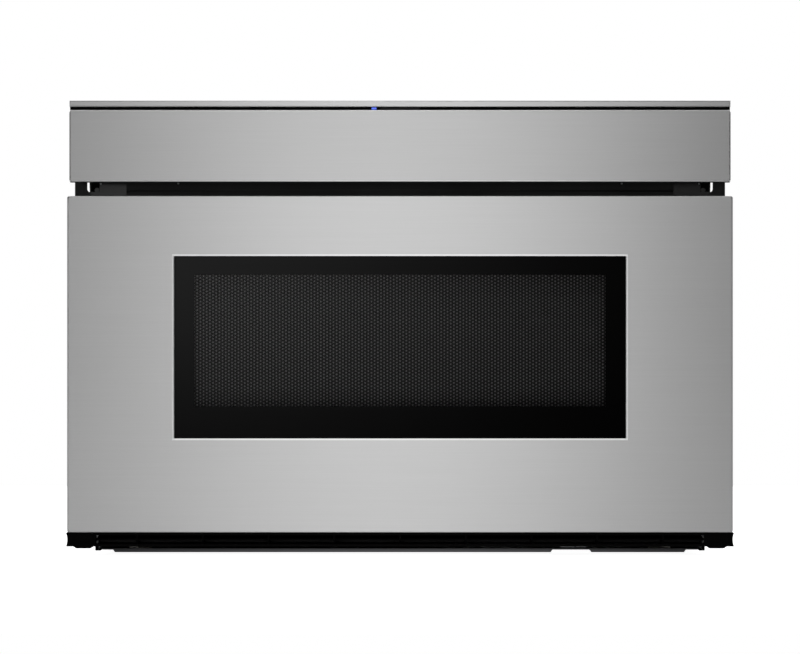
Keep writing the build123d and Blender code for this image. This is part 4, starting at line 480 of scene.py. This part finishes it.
def side_blocks(mesh, near, far, low_y, high_y, low_z, high_z):
    """Add the same box on both sides of the middle, from near to far along X."""
    for side in (-1, 1):
        left, right = sorted((side * near, side * far))
        block(mesh, (left, low_y, low_z), (right, high_y, high_z))


def soften(mesh, edges, width, segments=3):
    """Round the given edges."""
    bmesh.ops.bevel(
        mesh, geom=edges, offset=width, offset_type="OFFSET", segments=segments, profile=0.5,
        affect="EDGES", material=-1, clamp_overlap=True,
    )


def hold_flat(mesh):
    """Inset each large face a little, so that its shading stays flat up to the rounded edges."""
    large = [face for face in mesh.faces if face.calc_area() > LARGE_FACE]
    bmesh.ops.inset_individual(mesh, faces=large, thickness=EDGE_HOLD, use_even_offset=True)


def weld(mesh):
    """Join points that meet."""
    bmesh.ops.remove_doubles(mesh, verts=mesh.verts[:], dist=WELD)


def face_out(mesh):
    """Turn every face outwards."""
    bmesh.ops.recalc_face_normals(mesh, faces=mesh.faces[:])


def grow(mesh, edges):
    """Extrude edges where they are, and return the new points."""
    grown = bmesh.ops.extrude_edge_only(mesh, edges=edges)["geom"]
    return [item for item in grown if isinstance(item, bmesh.types.BMVert)]


def front_uv(mesh):
    """A flat UV map seen from the front, so that the brush lines have a direction to follow."""
    layer = mesh.loops.layers.uv.new("front")
    for face in mesh.faces:
        for loop in face.loops:
            x, y, z = loop.vert.co
            loop[layer].uv = (x, z + y)


def finish_piece(name, mesh, materials, body, smooth_angle, replaced=()):
    """Turn a bmesh into a piece that rides on a body. Edges that turn by more degrees stay sharp."""
    bmesh.ops.triangulate(mesh, faces=[face for face in mesh.faces if len(face.verts) > 4])
    front_uv(mesh)
    data = bpy.data.meshes.new(name)
    mesh.to_mesh(data)
    mesh.free()
    for material in materials:
        data.materials.append(material)
    data.shade_smooth()
    data.set_sharp_from_angle(angle=math.radians(smooth_angle))
    piece = bpy.data.objects.new(name, data)
    bpy.context.scene.collection.objects.link(piece)
    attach(piece, body)
    if replaced:
        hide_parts(*replaced)


def round_rectangle(low_u, high_u, low_v, high_v, radius, steps):
    """The points of a rectangle with round corners, in a plane of its own."""
    points = []
    corners = (
        (high_u - radius, high_v - radius, 0), (low_u + radius, high_v - radius, 90),
        (low_u + radius, low_v + radius, 180), (high_u - radius, low_v + radius, 270),
    )
    for u, v, start in corners:
        for step in range(steps + 1):
            angle = math.radians(start + 90 * step / steps)
            points.append((u + radius * math.cos(angle), v + radius * math.sin(angle)))
    return points


def outline(low_x, high_x, low_z, high_z, y, radius):
    """A round-cornered rectangle seen from the front, at a depth."""
    flat = round_rectangle(low_x, high_x, low_z, high_z, radius, CORNER_STEPS)
    return [Vector((u, y, v)) for u, v in flat]


def plan(low_x, high_x, low_y, high_y, z, radius, steps=8):
    """A round-cornered rectangle seen from above, at a height."""
    flat = round_rectangle(low_x, high_x, low_y, high_y, radius, steps)
    return [Vector((u, v, z)) for u, v in flat]


def first_ring(mesh, places):
    """A closed ring of edges to start a shape from."""
    ring = [mesh.verts.new(place) for place in places]
    for vert, following in zip(ring, ring[1:] + ring[:1]):
        mesh.edges.new((vert, following))
    return ring


def pull_ring(mesh, ring, places):
    """Extrude a closed ring to new places, with a band of faces between, and return the new ring."""
    fresh = set(grow(mesh, [mesh.edges.get(pair) for pair in zip(ring, ring[1:] + ring[:1])]))
    pulled = [next(e.other_vert(v) for e in v.link_edges if e.other_vert(v) in fresh) for v in ring]
    for vert, place in zip(pulled, places):
        vert.co = place
    return pulled


def ring_solid(mesh, sections):
    """Pull one ring through all the sections and close it on itself."""
    ring = first_ring(mesh, sections[0])
    for places in sections[1:] + sections[:1]:
        ring = pull_ring(mesh, ring, places)
    weld(mesh)
    face_out(mesh)


def plate_solid(mesh, sections):
    """Pull one ring through all the sections and cap both ends. Returns the first and last caps."""
    ring = first_ring(mesh, sections[0])
    caps = [mesh.faces.new(ring)]
    for places in sections[1:]:
        ring = pull_ring(mesh, ring, places)
    caps.append(mesh.faces.new(ring))
    face_out(mesh)
    return caps


def join(mesh, other, place=Matrix.Identity(4)):
    """Move all of another bmesh into this one, at a place."""
    data = bpy.data.meshes.new("part")
    other.to_mesh(data)
    other.free()
    data.transform(place)
    mesh.from_mesh(data)
    bpy.data.meshes.remove(data)


def repeat(mesh, count, place):
    """Copy all that is in the mesh so many times in all, each copy moved to its place."""
    one = mesh.verts[:] + mesh.edges[:] + mesh.faces[:]
    for number in range(1, count):
        copied = bmesh.ops.duplicate(mesh, geom=one)["geom"]
        moved = [item for item in copied if isinstance(item, bmesh.types.BMVert)]
        bmesh.ops.translate(mesh, verts=moved, vec=place(number))


def round_edge(radius, degrees):
    """For each angle along a round edge, its distances from the two flat faces that it joins."""
    for angle in map(math.radians, degrees):
        yield radius * (1 - math.sin(angle)), radius * (1 - math.cos(angle))


# ---------------------------------------------------------------- front pieces
def door_face():
    """The drawer's stainless face: outer returns, softened edges and a lip rolled in round the pane."""
    mesh = bmesh.new()
    half = DOOR_HIGH[0]
    front, back = DOOR_LOW[1], DOOR_HIGH[1]
    low, high = DOOR_LOW[2], DOOR_HIGH[2]
    pane_x = PANE_HIGH[0] - WINDOW_LIP
    pane_low, pane_high = PANE_LOW[2] + WINDOW_LIP, PANE_HIGH[2] - WINDOW_LIP

    def outer(inset, y, radius=DOOR_CORNER):
        return outline(-half + inset, half - inset, low + inset, high - inset, y, radius)

    def inner(widen, y, radius=LIP_CORNER):
        return outline(-pane_x - widen, pane_x + widen, pane_low - widen, pane_high + widen, y, radius)

    highlight_band = HIGHLIGHT_BAND_WIDTH + LIP_TURN
    ring_solid(mesh, [
        outer(SHEET, back, DOOR_BACK_CORNER),
        outer(0, back),
        outer(0, front + DOOR_ROLL + EDGE_HOLD),
        *[outer(inset, front + depth) for inset, depth in round_edge(DOOR_ROLL, range(90, -1, -15))],
        outer(DOOR_ROLL + EDGE_HOLD, front),
        inner(highlight_band + EDGE_HOLD, front),
        inner(highlight_band, front),
        inner(LIP_TURN, front),
        inner(LIP_TURN / 3, front + LIP_TURN / 4),
        inner(0, front + LIP_TURN),
        inner(0, PANE_LOW[1]),
        inner(FLANGE_WIDTH, PANE_LOW[1], FLANGE_CORNER),
        inner(FLANGE_WIDTH, front + SHEET + FLANGE_GAP, FLANGE_CORNER),
        outer(DOOR_ROLL + SHEET, front + SHEET, DOOR_BACK_CORNER),
        outer(SHEET, front + DOOR_ROLL + SHEET, DOOR_BACK_CORNER),
    ])
    # faces in a band round the lip get the lighter stainless: a painted highlight
    for face in mesh.faces:
        middle = face.calc_center_median()
        beyond = max(abs(middle.x) - pane_x, middle.z - pane_high, pane_low - middle.z)
        if middle.y < front + LIP_TURN and 0 < beyond < highlight_band:
            face.material_index = 1
    finish_piece(
        "door_face", mesh, [STAINLESS, HIGHLIGHT_STAINLESS], "drawer", 50, ["door_skin"]
    )


def window_pane():
    """Toughened glass with ground edges, printed black on its back outside the viewing field."""
    mesh = bmesh.new()
    low, high = PANE_LOW, PANE_HIGH

    def section(inset, y):
        return outline(
            low[0] + inset, high[0] - inset, low[2] + inset, high[2] - inset, y, PANE_CORNER - inset
        )

    caps = plate_solid(mesh, [
        section(PANE_GROUND, low[1]), section(0, low[1] + PANE_GROUND),
        section(0, high[1] - PANE_GROUND), section(PANE_GROUND, high[1]),
    ])
    side = VIEW_WIDTH / 2
    for cap in caps:
        bmesh.ops.inset_region(mesh, faces=[cap], thickness=VIEW_INSET, use_even_offset=True)
        for vert in cap.verts:
            vert.co.x = max(-side, min(side, vert.co.x))
            vert.co.z = max(VIEW_BOTTOM, min(VIEW_BOTTOM + VIEW_HEIGHT, vert.co.z))
        cap.material_index = 1
    weld(mesh)
    finish_piece(
        "window_pane", mesh, [BLACK_GLASS, SMOKED_GLASS], "drawer", 30, ["window_glass"]
    )


def window_shadow_ring():
    """A thin matt black ring between the steel lip and the pane: a dark sheet that paints the shadow line in
    the gap there.
    """
    mesh = bmesh.new()
    side = PANE_HIGH[0] - WINDOW_LIP
    low, high = PANE_LOW[2] + WINDOW_LIP, PANE_HIGH[2] - WINDOW_LIP
    face, back = DOOR_LOW[1] + LIP_TURN, PANE_LOW[1]

    def shadow_band(inset, y):
        return outline(-side + inset, side - inset, low + inset, high - inset, y, LIP_CORNER)

    # the ring is painted shadow: it stands where the lip's gap falls into shade
    ring_solid(mesh, [
        shadow_band(0, back), shadow_band(0, face), shadow_band(SHADOW_LINE_WIDTH / 2, face + SHADOW_LINE_WIDTH / 6),
        shadow_band(SHADOW_LINE_WIDTH, face + SHADOW_LINE_WIDTH), shadow_band(SHADOW_LINE_WIDTH, back),
    ])
    finish_piece("window_shadow_ring", mesh, [TRIM_PLASTIC], "drawer", 60)


def screen_sheet():
    """The door's shielding screen: painted steel, punched with a staggered field of small round holes.

    Each hole is a shallow pit with a pale floor, which stands for the oven lining seen through it.
    """
    mesh = bmesh.new()
    front, back = SCREEN_LOW[1], SCREEN_HIGH[1]
    half_wide, half_tall = HOLE_COLUMN_PITCH / 2, HOLE_ROW_PITCH / 2

    # one cell of the field, with its hole
    cell = first_ring(mesh, [
        Vector((x, front, z)) for x, z in (
            (half_wide, 0), (half_wide, half_tall), (-half_wide, half_tall),
            (-half_wide, 0), (-half_wide, -half_tall), (half_wide, -half_tall),
        )
    ])
    hexagon = [math.radians(turn) for turn in range(0, 360, 60)]
    rim = pull_ring(mesh, cell, [
        Vector((HOLE_RADIUS * math.cos(a), front, HOLE_RADIUS * math.sin(a))) for a in hexagon
    ])
    floor = pull_ring(mesh, rim, [vert.co + Vector((0, HOLE_DEPTH, 0)) for vert in rim])
    mesh.faces.new(floor).material_index = 1

    # the whole field, of an odd number of columns
    columns = 2 * round(VIEW_WIDTH / HOLE_COLUMN_PITCH / 2) + 3
    rows = round(VIEW_HEIGHT / HOLE_ROW_PITCH) + 2
    repeat(mesh, rows, lambda row: (0, 0, row * HOLE_ROW_PITCH))
    repeat(mesh, columns, lambda column: (column * HOLE_COLUMN_PITCH, 0, -half_tall if column % 2 else 0))
    field_width = (columns - 1) * HOLE_COLUMN_PITCH
    field_height = (rows - 1) * HOLE_ROW_PITCH
    start = Vector((-field_width / 2, 0, VIEW_BOTTOM + (VIEW_HEIGHT - field_height) / 2))
    bmesh.ops.translate(mesh, verts=mesh.verts[:], vec=start)
    weld(mesh)

    # its sides and its back
    fresh = grow(mesh, [edge for edge in mesh.edges if edge.is_boundary])
    bmesh.ops.translate(mesh, verts=fresh, vec=(0, HOLE_DEPTH + FIELD_BACK, 0))
    bmesh.ops.edgenet_fill(mesh, edges=[edge for edge in mesh.edges if edge.is_boundary])
    face_out(mesh)

    # the plain border round it
    field_side = (field_width + HOLE_COLUMN_PITCH) / 2 - FIELD_SIDE_MARGIN

    def edge_of_sheet(y, inset=0.0):
        return outline(
            SCREEN_LOW[0] + inset, SCREEN_HIGH[0] - inset, SCREEN_LOW[2] + inset, SCREEN_HIGH[2] - inset,
            y, SCREEN_CORNER
        )

    def edge_of_field(y):
        return outline(
            -field_side, field_side, VIEW_BOTTOM - FIELD_END_MARGIN,
            VIEW_BOTTOM + VIEW_HEIGHT + FIELD_END_MARGIN, y, FIELD_CORNER
        )

    border = bmesh.new()
    ring_solid(border, [
        edge_of_sheet(back), edge_of_sheet(front + SCREEN_ROUND), edge_of_sheet(front, SCREEN_ROUND),
        edge_of_field(front - FIELD_OVERLAP), edge_of_field(front + HOLE_DEPTH + FIELD_OVERLAP),
        edge_of_field(back),
    ])
    join(mesh, border)
    finish_piece(
        "screen_sheet", mesh, [SCREEN_PAINT, OVEN_SHOWING], "drawer", 30, ["shield_mesh"]
    )


def panel_face():
    """The control panel's stainless face, folded over at its upper and lower edges."""
    mesh = bmesh.new()
    low, high = FACE_LOW, FACE_HIGH

    # the outside of the bent sheet: a box without back and ends, its front edges rounded
    block(mesh, low, high)
    bmesh.ops.delete(mesh, geom=[f for f in mesh.faces if f.normal.y > FACING], context="FACES_ONLY")
    folds = [
        e for e in mesh.edges
        if all(abs(v.co.y - low[1]) < WELD for v in e.verts) and abs(e.verts[0].co.z - e.verts[1].co.z) < WELD
    ]
    soften(mesh, folds, FACE_FOLD, 4)
    bmesh.ops.delete(mesh, geom=[f for f in mesh.faces if abs(f.normal.x) > FACING], context="FACES_ONLY")
    weld(mesh)
    face_out(mesh)
    if max(mesh.faces, key=lambda f: f.calc_area()).normal.y > 0:
        bmesh.ops.reverse_faces(mesh, faces=mesh.faces[:])

    # its thickness, and the cut edges at its two ends
    bmesh.ops.solidify(mesh, geom=mesh.faces[:], thickness=SHEET)
    rims = [
        e for e in mesh.edges
        if e.calc_length() > LONG_EDGE and e.is_manifold and e.calc_face_angle(0) > SHARP_TURN
        and abs(e.verts[0].co.x - e.verts[1].co.x) < WELD and e.verts[0].co.y < low[1] + SHEET / 2
    ]
    soften(mesh, rims, FACE_RIM_ROUND, 2)
    hold_flat(mesh)
    highlight_band = FACE_FOLD + HIGHLIGHT_PAST_FOLD
    # faces on and beside the folds get the lighter stainless: a painted highlight
    for face in mesh.faces:
        middle = face.calc_center_median()
        if middle.y < low[1] + FACE_FOLD and min(high[2] - middle.z, middle.z - low[2]) < highlight_band:
            face.material_index = 1
    finish_piece(
        "panel_face", mesh, [PANEL_STAINLESS, HIGHLIGHT_STAINLESS], "control_panel", 50,
        ["fascia_skin"]
    )


def trim_strip():
    """The strip across the top, folded from sheet, with a round nose above and below."""
    mesh = bmesh.new()
    block(mesh, TRIM_LOW, TRIM_HIGH)
    noses = [e for e in mesh.edges if all(abs(v.co.y - TRIM_LOW[1]) < WELD for v in e.verts)]
    soften(mesh, noses, TRIM_NOSE, 5)
    hold_flat(mesh)
    finish_piece("trim_strip", mesh, [STAINLESS], "chassis", 50, ["top_trim"])


def slot_ends():
    """Black moulded ends that carry the sensor bar's dark line out to the corners of the top strip."""
    mesh = bmesh.new()
    side_blocks(
        mesh, BAR_HIGH[0], TRIM_HIGH[0] - BAR_END_GAP, BAR_LOW[1], BAR_HIGH[1],
        BAR_LOW[2] - BAR_END_DROP, BAR_HIGH[2]
    )
    soften(mesh, [edge for edge in mesh.edges if edge.calc_length() < BAR_SHORT_EDGE], BAR_END_ROUND)
    finish_piece("slot_ends", mesh, [TRIM_PLASTIC], "chassis", 40)


def frame_hems():
    """The closed hems down the front frame's two edges, which show beside the finger gap."""
    mesh = bmesh.new()
    far = FRAME_HIGH[0] + HEM_WIDTH
    side_blocks(mesh, FRAME_HIGH[0], far, FRAME_LOW[1], FRAME_HIGH[1], FRAME_LOW[2], FRAME_HIGH[2])
    folds = [e for e in mesh.edges if all(abs(abs(v.co.x) - far) < WELD for v in e.verts)]
    soften(mesh, folds, HEM_ROUND, 4)
    finish_piece("frame_hems", mesh, [BLACK_PAINT], "chassis", 40)


def gap_strip():
    """The painted strip behind the frame that closes the slot under the tilting panel's housing."""
    mesh = bmesh.new()
    block(
        mesh, (HOUSING_LOW[0], FRAME_HIGH[1], HOUSING_LOW[2] - STRIP_OVERLAP),
        (HOUSING_HIGH[0], FRAME_HIGH[1] + SHEET, HOUSING_LOW[2] + STRIP_OVERLAP)
    )
    soften(mesh, mesh.edges[:], STRIP_ROUND, 2)
    finish_piece("gap_strip", mesh, [BLACK_PAINT], "chassis", 40)


def hinge_pads():
    """Matt pads on the hinge brackets, which the panel's ends rest on when it is shut."""
    mesh = bmesh.new()
    seat = FRAME_LOW[1] - BRACKET_SHEET
    side_blocks(mesh, PAD_NEAR, PAD_FAR, seat - PAD_THICKNESS, seat, PAD_FOOT, PAD_FOOT + PAD_HEIGHT)
    soften(mesh, [edge for edge in mesh.edges if edge.calc_length() > PAD_THICKNESS * 2], PAD_ROUND, 2)
    finish_piece("hinge_pads", mesh, [TRIM_PLASTIC], "chassis", 40)


def gap_rivets():
    """Domed zinc rivets in the housing and the hinge brackets, which catch the light in the finger gap."""
    mesh = bmesh.new()
    face = FRAME_LOW[1]
    # how far the crowns stand before the frame, in tenths of a millimetre
    crowns = {round((proud + RIVET_HEIGHT) / TENTH) for x, z, proud in RIVET_PLACES}
    for x, z, proud in RIVET_PLACES:
        for side in (-1, 1):
            seat = Matrix.Translation((side * x, face - proud - RIVET_HEIGHT / 2, z))
            bmesh.ops.create_cone(
                mesh, cap_ends=True, segments=16, radius1=RIVET_RADIUS, radius2=RIVET_CROWN_RADIUS,
                depth=RIVET_HEIGHT, matrix=seat @ Matrix.Rotation(math.radians(90), 4, "X")
            )
    rounds = [
        e for e in mesh.edges
        if e.calc_face_angle(0) > SHARP_TURN
        and all(round((face - v.co.y) / TENTH) in crowns for v in e.verts)
    ]
    soften(mesh, rounds, RIVET_ROUND)
    finish_piece("gap_rivets", mesh, [DULL_ZINC], "chassis", 60)


def vent_liners():
    """Plated return flanges of the base pan, seen end-on inside the two ends of the lower trim."""
    mesh = bmesh.new()
    side_blocks(
        mesh, LINER_SIDE - LINER_SHEET, LINER_SIDE, LINER_FRONT, LINER_BACK, LINER_FOOT, LINER_TOP
    )
    soften(mesh, mesh.edges[:], LINER_ROUND, 2)
    finish_piece("vent_liners", mesh, [DULL_ZINC], "chassis", 40)


# ---------------------------------------------------------------- drawer and touch panel
def pressed_tub():
    """The drawer's tub, pressed from one sheet, with coved corners, a rolled rim and an open front.

    The door closes the front. The tub is first pulled up as a full pan and then cut there.
    """
    mesh = bmesh.new()
    low, high = TUB_LOW, TUB_HIGH
    floor = TRAY_LOW[2] - TUB_SHEET
    front = low[1] - TUB_CORNER

    def section(outset, z):
        corner = max(TUB_CORNER + outset, LEAST_CORNER)
        return plan(low[0] - outset, high[0] + outset, front - outset, high[1] + outset, z, corner)

    # up the cove and over the rim, then down inside it
    cove = [section(-inset, floor + rise) for inset, rise in round_edge(TUB_COVE, range(0, 91, 15))]
    rim = [section(-inset, high[2] - drop) for drop, inset in round_edge(RIM_ROLL, range(0, 181, 30))]
    ring = first_ring(mesh, cove[0])
    mesh.faces.new(ring)
    for places in cove[1:] + rim:
        ring = pull_ring(mesh, ring, places)
    pull_ring(mesh, ring, [vert.co - Vector((0, 0, RIM_DROP)) for vert in ring])
    weld(mesh)
    face_out(mesh)

    # the open front, then the sheet's thickness
    bmesh.ops.bisect_plane(
        mesh, geom=mesh.verts[:] + mesh.edges[:] + mesh.faces[:], plane_co=(0, low[1], 0),
        plane_no=(0, -1, 0), clear_outer=True
    )
    underside = min(mesh.faces, key=lambda face: face.calc_center_median().z)
    if underside.normal.z > 0:
        bmesh.ops.reverse_faces(mesh, faces=mesh.faces[:])
    bmesh.ops.solidify(mesh, geom=mesh.faces[:], thickness=TUB_SHEET)
    hold_flat(mesh)
    finish_piece("pressed_tub", mesh, [TUB_PAINT], "drawer", 50, ["drawer_tub"])


def glass_tray():
    """The flat ceramic glass tray on the tub's floor, with every edge ground round."""
    mesh = bmesh.new()
    low, high = TRAY_LOW, TRAY_HIGH
    nose = (high[2] - low[2]) / 2
    sections = []
    for turn in range(-90, 91, 18):
        inset = nose * (1 - math.cos(math.radians(turn)))
        z = low[2] + nose + nose * math.sin(math.radians(turn))
        sections.append(plan(
            low[0] + inset, high[0] - inset, low[1] + inset, high[1] - inset, z, TRAY_CORNER - inset
        ))
    plate_solid(mesh, sections)
    hold_flat(mesh)
    finish_piece("glass_tray", mesh, [TRAY_GLASS], "drawer", 50, ["tub_tray"])


def touch_panel():
    """The strip of black touch glass on the control panel's upper face, with ground edges."""
    mesh = bmesh.new()
    low, high = GLASS_LOW, GLASS_HIGH

    def section(inset, z):
        return plan(low[0] + inset, high[0] - inset, low[1] + inset, high[1] - inset, z, GLASS_CORNER, 4)

    plate_solid(mesh, [
        section(GLASS_GROUND, low[2]), section(0, low[2] + GLASS_GROUND),
        section(0, high[2] - GLASS_GROUND), section(GLASS_GROUND, high[2]),
    ])
    hold_flat(mesh)
    finish_piece("touch_panel", mesh, [BLACK_GLASS], "control_panel", 50, ["touch_glass"])


def raised_print(name, shapes, material):
    """Turn flat shapes, placed along the touch glass, into one thin layer of print."""
    mesh = bmesh.new()
    middle = (GLASS_LOW[1] + GLASS_HIGH[1]) / 2
    for shape, x in shapes:
        join(mesh, shape, Matrix.Translation((x, middle, GLASS_HIGH[2] + PRINT_THICKNESS)))
    for face in mesh.faces:
        if face.normal.z < 0:
            face.normal_flip()
    bmesh.ops.solidify(mesh, geom=mesh.faces[:], thickness=PRINT_THICKNESS)
    face_out(mesh)
    finish_piece(name, mesh, [material], "control_panel", 30)


def digit_shape(sign):
    """One digit in the plain built-in face, centred on its key."""
    curve = bpy.data.curves.new("sign", "FONT")
    curve.body = sign
    curve.size = KEY_HEIGHT
    curve.align_x = "CENTER"
    curve.align_y = "CENTER"
    curve.resolution_u = 3
    writing = bpy.data.objects.new("sign", curve)
    flat = bpy.data.meshes.new_from_object(writing)
    shape = bmesh.new()
    shape.from_mesh(flat)
    bpy.data.meshes.remove(flat)
    bpy.data.objects.remove(writing)
    bpy.data.curves.remove(curve)
    return shape


def polygon_shape(sides, radius, turn=0, inner=0.0):
    """A filled polygon, or a ring of one where an inner radius is given."""
    shape = bmesh.new()
    bmesh.ops.create_circle(
        shape, cap_ends=not inner, segments=sides, radius=radius,
        matrix=Matrix.Rotation(math.radians(turn), 4, "Z")
    )
    if inner:
        fresh = grow(shape, shape.edges[:])
        bmesh.ops.scale(shape, verts=fresh, vec=(inner / radius, inner / radius, 1))
    return shape


def lit_digit(sign):
    """One digit of the clock, from its lit bars."""
    shape = bmesh.new()
    for bar in LIT_BARS[sign]:
        x, y, flat = CLOCK_BARS[bar]
        place = Matrix.Translation((x * CLOCK_HALF, y * 2 * CLOCK_HALF, 0))
        wide, tall = (CLOCK_BAR_LENGTH, CLOCK_BAR) if flat else (CLOCK_BAR, CLOCK_BAR_LENGTH)
        bmesh.ops.create_grid(
            shape, x_segments=1, y_segments=1, size=0.5, matrix=place @ Matrix.Diagonal((wide, tall, 1, 1))
        )
    return shape


def key_marks():
    """The plain white signs of the keys: ten digits, open and close, light, start and stop."""
    shapes = [(digit_shape(str((key + 1) % 10)), FIRST_DIGIT + key * KEY_PITCH) for key in range(10)]
    shapes += [(polygon_shape(*sign), x) for *sign, x in KEY_SIGNS]
    raised_print("key_marks", shapes, WHITE_PRINT)


def clock_digits():
    """The clock on the touch glass, lit from behind."""
    shapes = [(lit_digit(sign), CLOCK_LEFT + x) for sign, x in CLOCK_TIME]
    for side in (-1, 1):
        dot = polygon_shape(8, CLOCK_DOT)
        bmesh.ops.translate(dot, verts=dot.verts[:], vec=(0, side * CLOCK_HALF, 0))
        shapes.append((dot, CLOCK_LEFT + CLOCK_DOT_PLACE))
    raised_print("clock_digits", shapes, LIT_DIGITS)


# ---------------------------------------------------------------- camera, floor and light
def photo_camera(scene):
    """A long lens, level with the window, square on to the front."""
    lens = bpy.data.cameras.new("camera")
    lens.sensor_width = SENSOR_WIDTH_MM
    frame_width = (DOOR_HIGH[0] - DOOR_LOW[0]) * PICTURE_WIDTH_PX / DOOR_WIDTH_PX
    lens.lens = SENSOR_WIDTH_MM * CAMERA_DISTANCE / frame_width
    lens.clip_end = FAR_LIMIT
    camera = bpy.data.objects.new("camera", lens)
    camera.location = (0, DOOR_LOW[1] - CAMERA_DISTANCE, CAMERA_HEIGHT)
    camera.rotation_euler = (math.radians(90), 0, 0)
    scene.collection.objects.link(camera)
    scene.camera = camera


def look(tree, output):
    """The direction or place that light is wanted for, split into X, Y and Z."""
    place = add(tree, "ShaderNodeTexCoord").outputs[output]
    return add(tree, "ShaderNodeSeparateXYZ", {"Vector": place}).outputs


def ease(tree, value, fade, start, end):
    """Go smoothly from one level to another while a value goes through a range."""
    made = add(tree, "ShaderNodeMapRange", {"Value": value}, interpolation_type="SMOOTHSTEP")
    for name, number in zip(("From Min", "From Max", "To Min", "To Max"), (*fade, start, end)):
        made.inputs[name].default_value = number
    return made.outputs["Result"]


def combine(tree, operation, *values):
    """Do a sum with one or two values."""
    return add(tree, "ShaderNodeMath", dict(enumerate(values)), operation=operation).outputs["Value"]


def show_camera(tree, level, shown):
    """The level that everything else gets, and the plain level that the camera sees."""
    rays = add(tree, "ShaderNodeLightPath").outputs["Is Camera Ray"]
    seen = add(tree, "ShaderNodeMix", {"Factor": rays, "A": level}, data_type="FLOAT")
    seen.inputs["B"].default_value = shown
    return seen.outputs["Result"]


def paper_floor(scene):
    """White paper, lit so that it meets the white room without a line."""
    mesh = bmesh.new()
    bmesh.ops.create_grid(mesh, x_segments=1, y_segments=1, size=FLOOR_REACH)
    bmesh.ops.translate(mesh, verts=mesh.verts[:], vec=(0, 0, -FLOOR_DROP))
    data = bpy.data.meshes.new("floor")
    mesh.to_mesh(data)
    mesh.free()
    floor = bpy.data.objects.new("floor", data)
    material, tree, shader = surface("matt_white_paper", "#FFFFFF", 0.95)
    tint(tree, noise(tree, 40, 40, 40), "#E2E2E2", "#E8E8E8", shader.inputs["Base Color"])
    shader.inputs["Emission Color"].default_value = (1, 1, 1, 1)
    aside = combine(tree, "ABSOLUTE", look(tree, "Object")["X"])
    pool = ease(tree, aside, (0.0, POOL_REACH), POOL_LEVEL, FLOOR_GLOW)
    tree.links.new(show_camera(tree, pool, FLOOR_WHITE), shader.inputs["Emission Strength"])
    data.materials.append(material)
    scene.collection.objects.link(floor)


def soft_room(scene):
    """A white room with one tall soft strip of light behind the camera, shaded by a flag beside the lens.

    The strip is what the brushed steel draws out into a bright middle and grey ends, and the flag
    keeps it from showing in the flat glass.
    """
    world = bpy.data.worlds.new("studio")
    world.use_nodes = True
    tree = world.node_tree
    back = tree.nodes["Background"]
    x, y, z = look(tree, "Generated")

    # what lights the object: the strip, the room at the sides and the room overhead
    aside = combine(tree, "ABSOLUTE", x)
    strip = combine(
        tree, "MULTIPLY", ease(tree, aside, (0.0, STRIP_REACH), STRIP_LEVEL, 0.0),
        ease(tree, y, STRIP_FADE, 1.0, 0.0)
    )
    room = ease(tree, y, ROOM_FADE, ROOM_AHEAD, ROOM_LEVEL)
    overhead = ease(tree, z, OVERHEAD_FADE, 0.0, OVERHEAD_LEVEL)
    level = combine(tree, "ADD", combine(tree, "ADD", strip, room), overhead)

    # the flag takes the place of all that, but only level and straight ahead, where flat glass looks
    flag = combine(
        tree, "MULTIPLY", ease(tree, x, (-FLAG_REACH, FLAG_REACH), FLAG_LEFT, FLAG_RIGHT),
        ease(tree, z, FLAG_FOOT_FADE, FLAG_FOOT, 1.0)
    )
    clear = combine(
        tree, "MAXIMUM", ease(tree, combine(tree, "ABSOLUTE", z), FLAG_HEIGHT_FADE, 0.0, 1.0),
        ease(tree, y, FLAG_DEPTH_FADE, 0.0, 1.0)
    )
    shaded = add(tree, "ShaderNodeMix", {"Factor": clear, "A": flag, "B": level}, data_type="FLOAT")
    tree.links.new(show_camera(tree, shaded.outputs["Result"], 1.0), back.inputs["Strength"])
    back.inputs["Color"].default_value = (1, 1, 1, 1)
    scene.world = world


def soft_light(scene, name, location, target, width, depth, watts):
    """A rectangular softbox, pointed at a target."""
    lamp = bpy.data.lights.new(name, "AREA")
    lamp.shape = "RECTANGLE"
    lamp.size, lamp.size_y, lamp.energy = width, depth, watts
    softbox = bpy.data.objects.new(name, lamp)
    softbox.location = location
    aim = Vector(target) - Vector(location)
    softbox.rotation_euler = aim.to_track_quat("-Z", "Y").to_euler()
    scene.collection.objects.link(softbox)


# ---------------------------------------------------------------- all of it, in order
dress_nodes()
door_face()
window_pane()
window_shadow_ring()
screen_sheet()
pressed_tub()
glass_tray()
touch_panel()
key_marks()
clock_digits()
panel_face()
trim_strip()
slot_ends()
frame_hems()
gap_strip()
hinge_pads()
gap_rivets()
vent_liners()
photo_camera(bpy.context.scene)
paper_floor(bpy.context.scene)
soft_room(bpy.context.scene)
for softbox in SOFTBOXES:
    soft_light(bpy.context.scene, *softbox)
bpy.context.scene.view_settings.view_transform = "Standard"
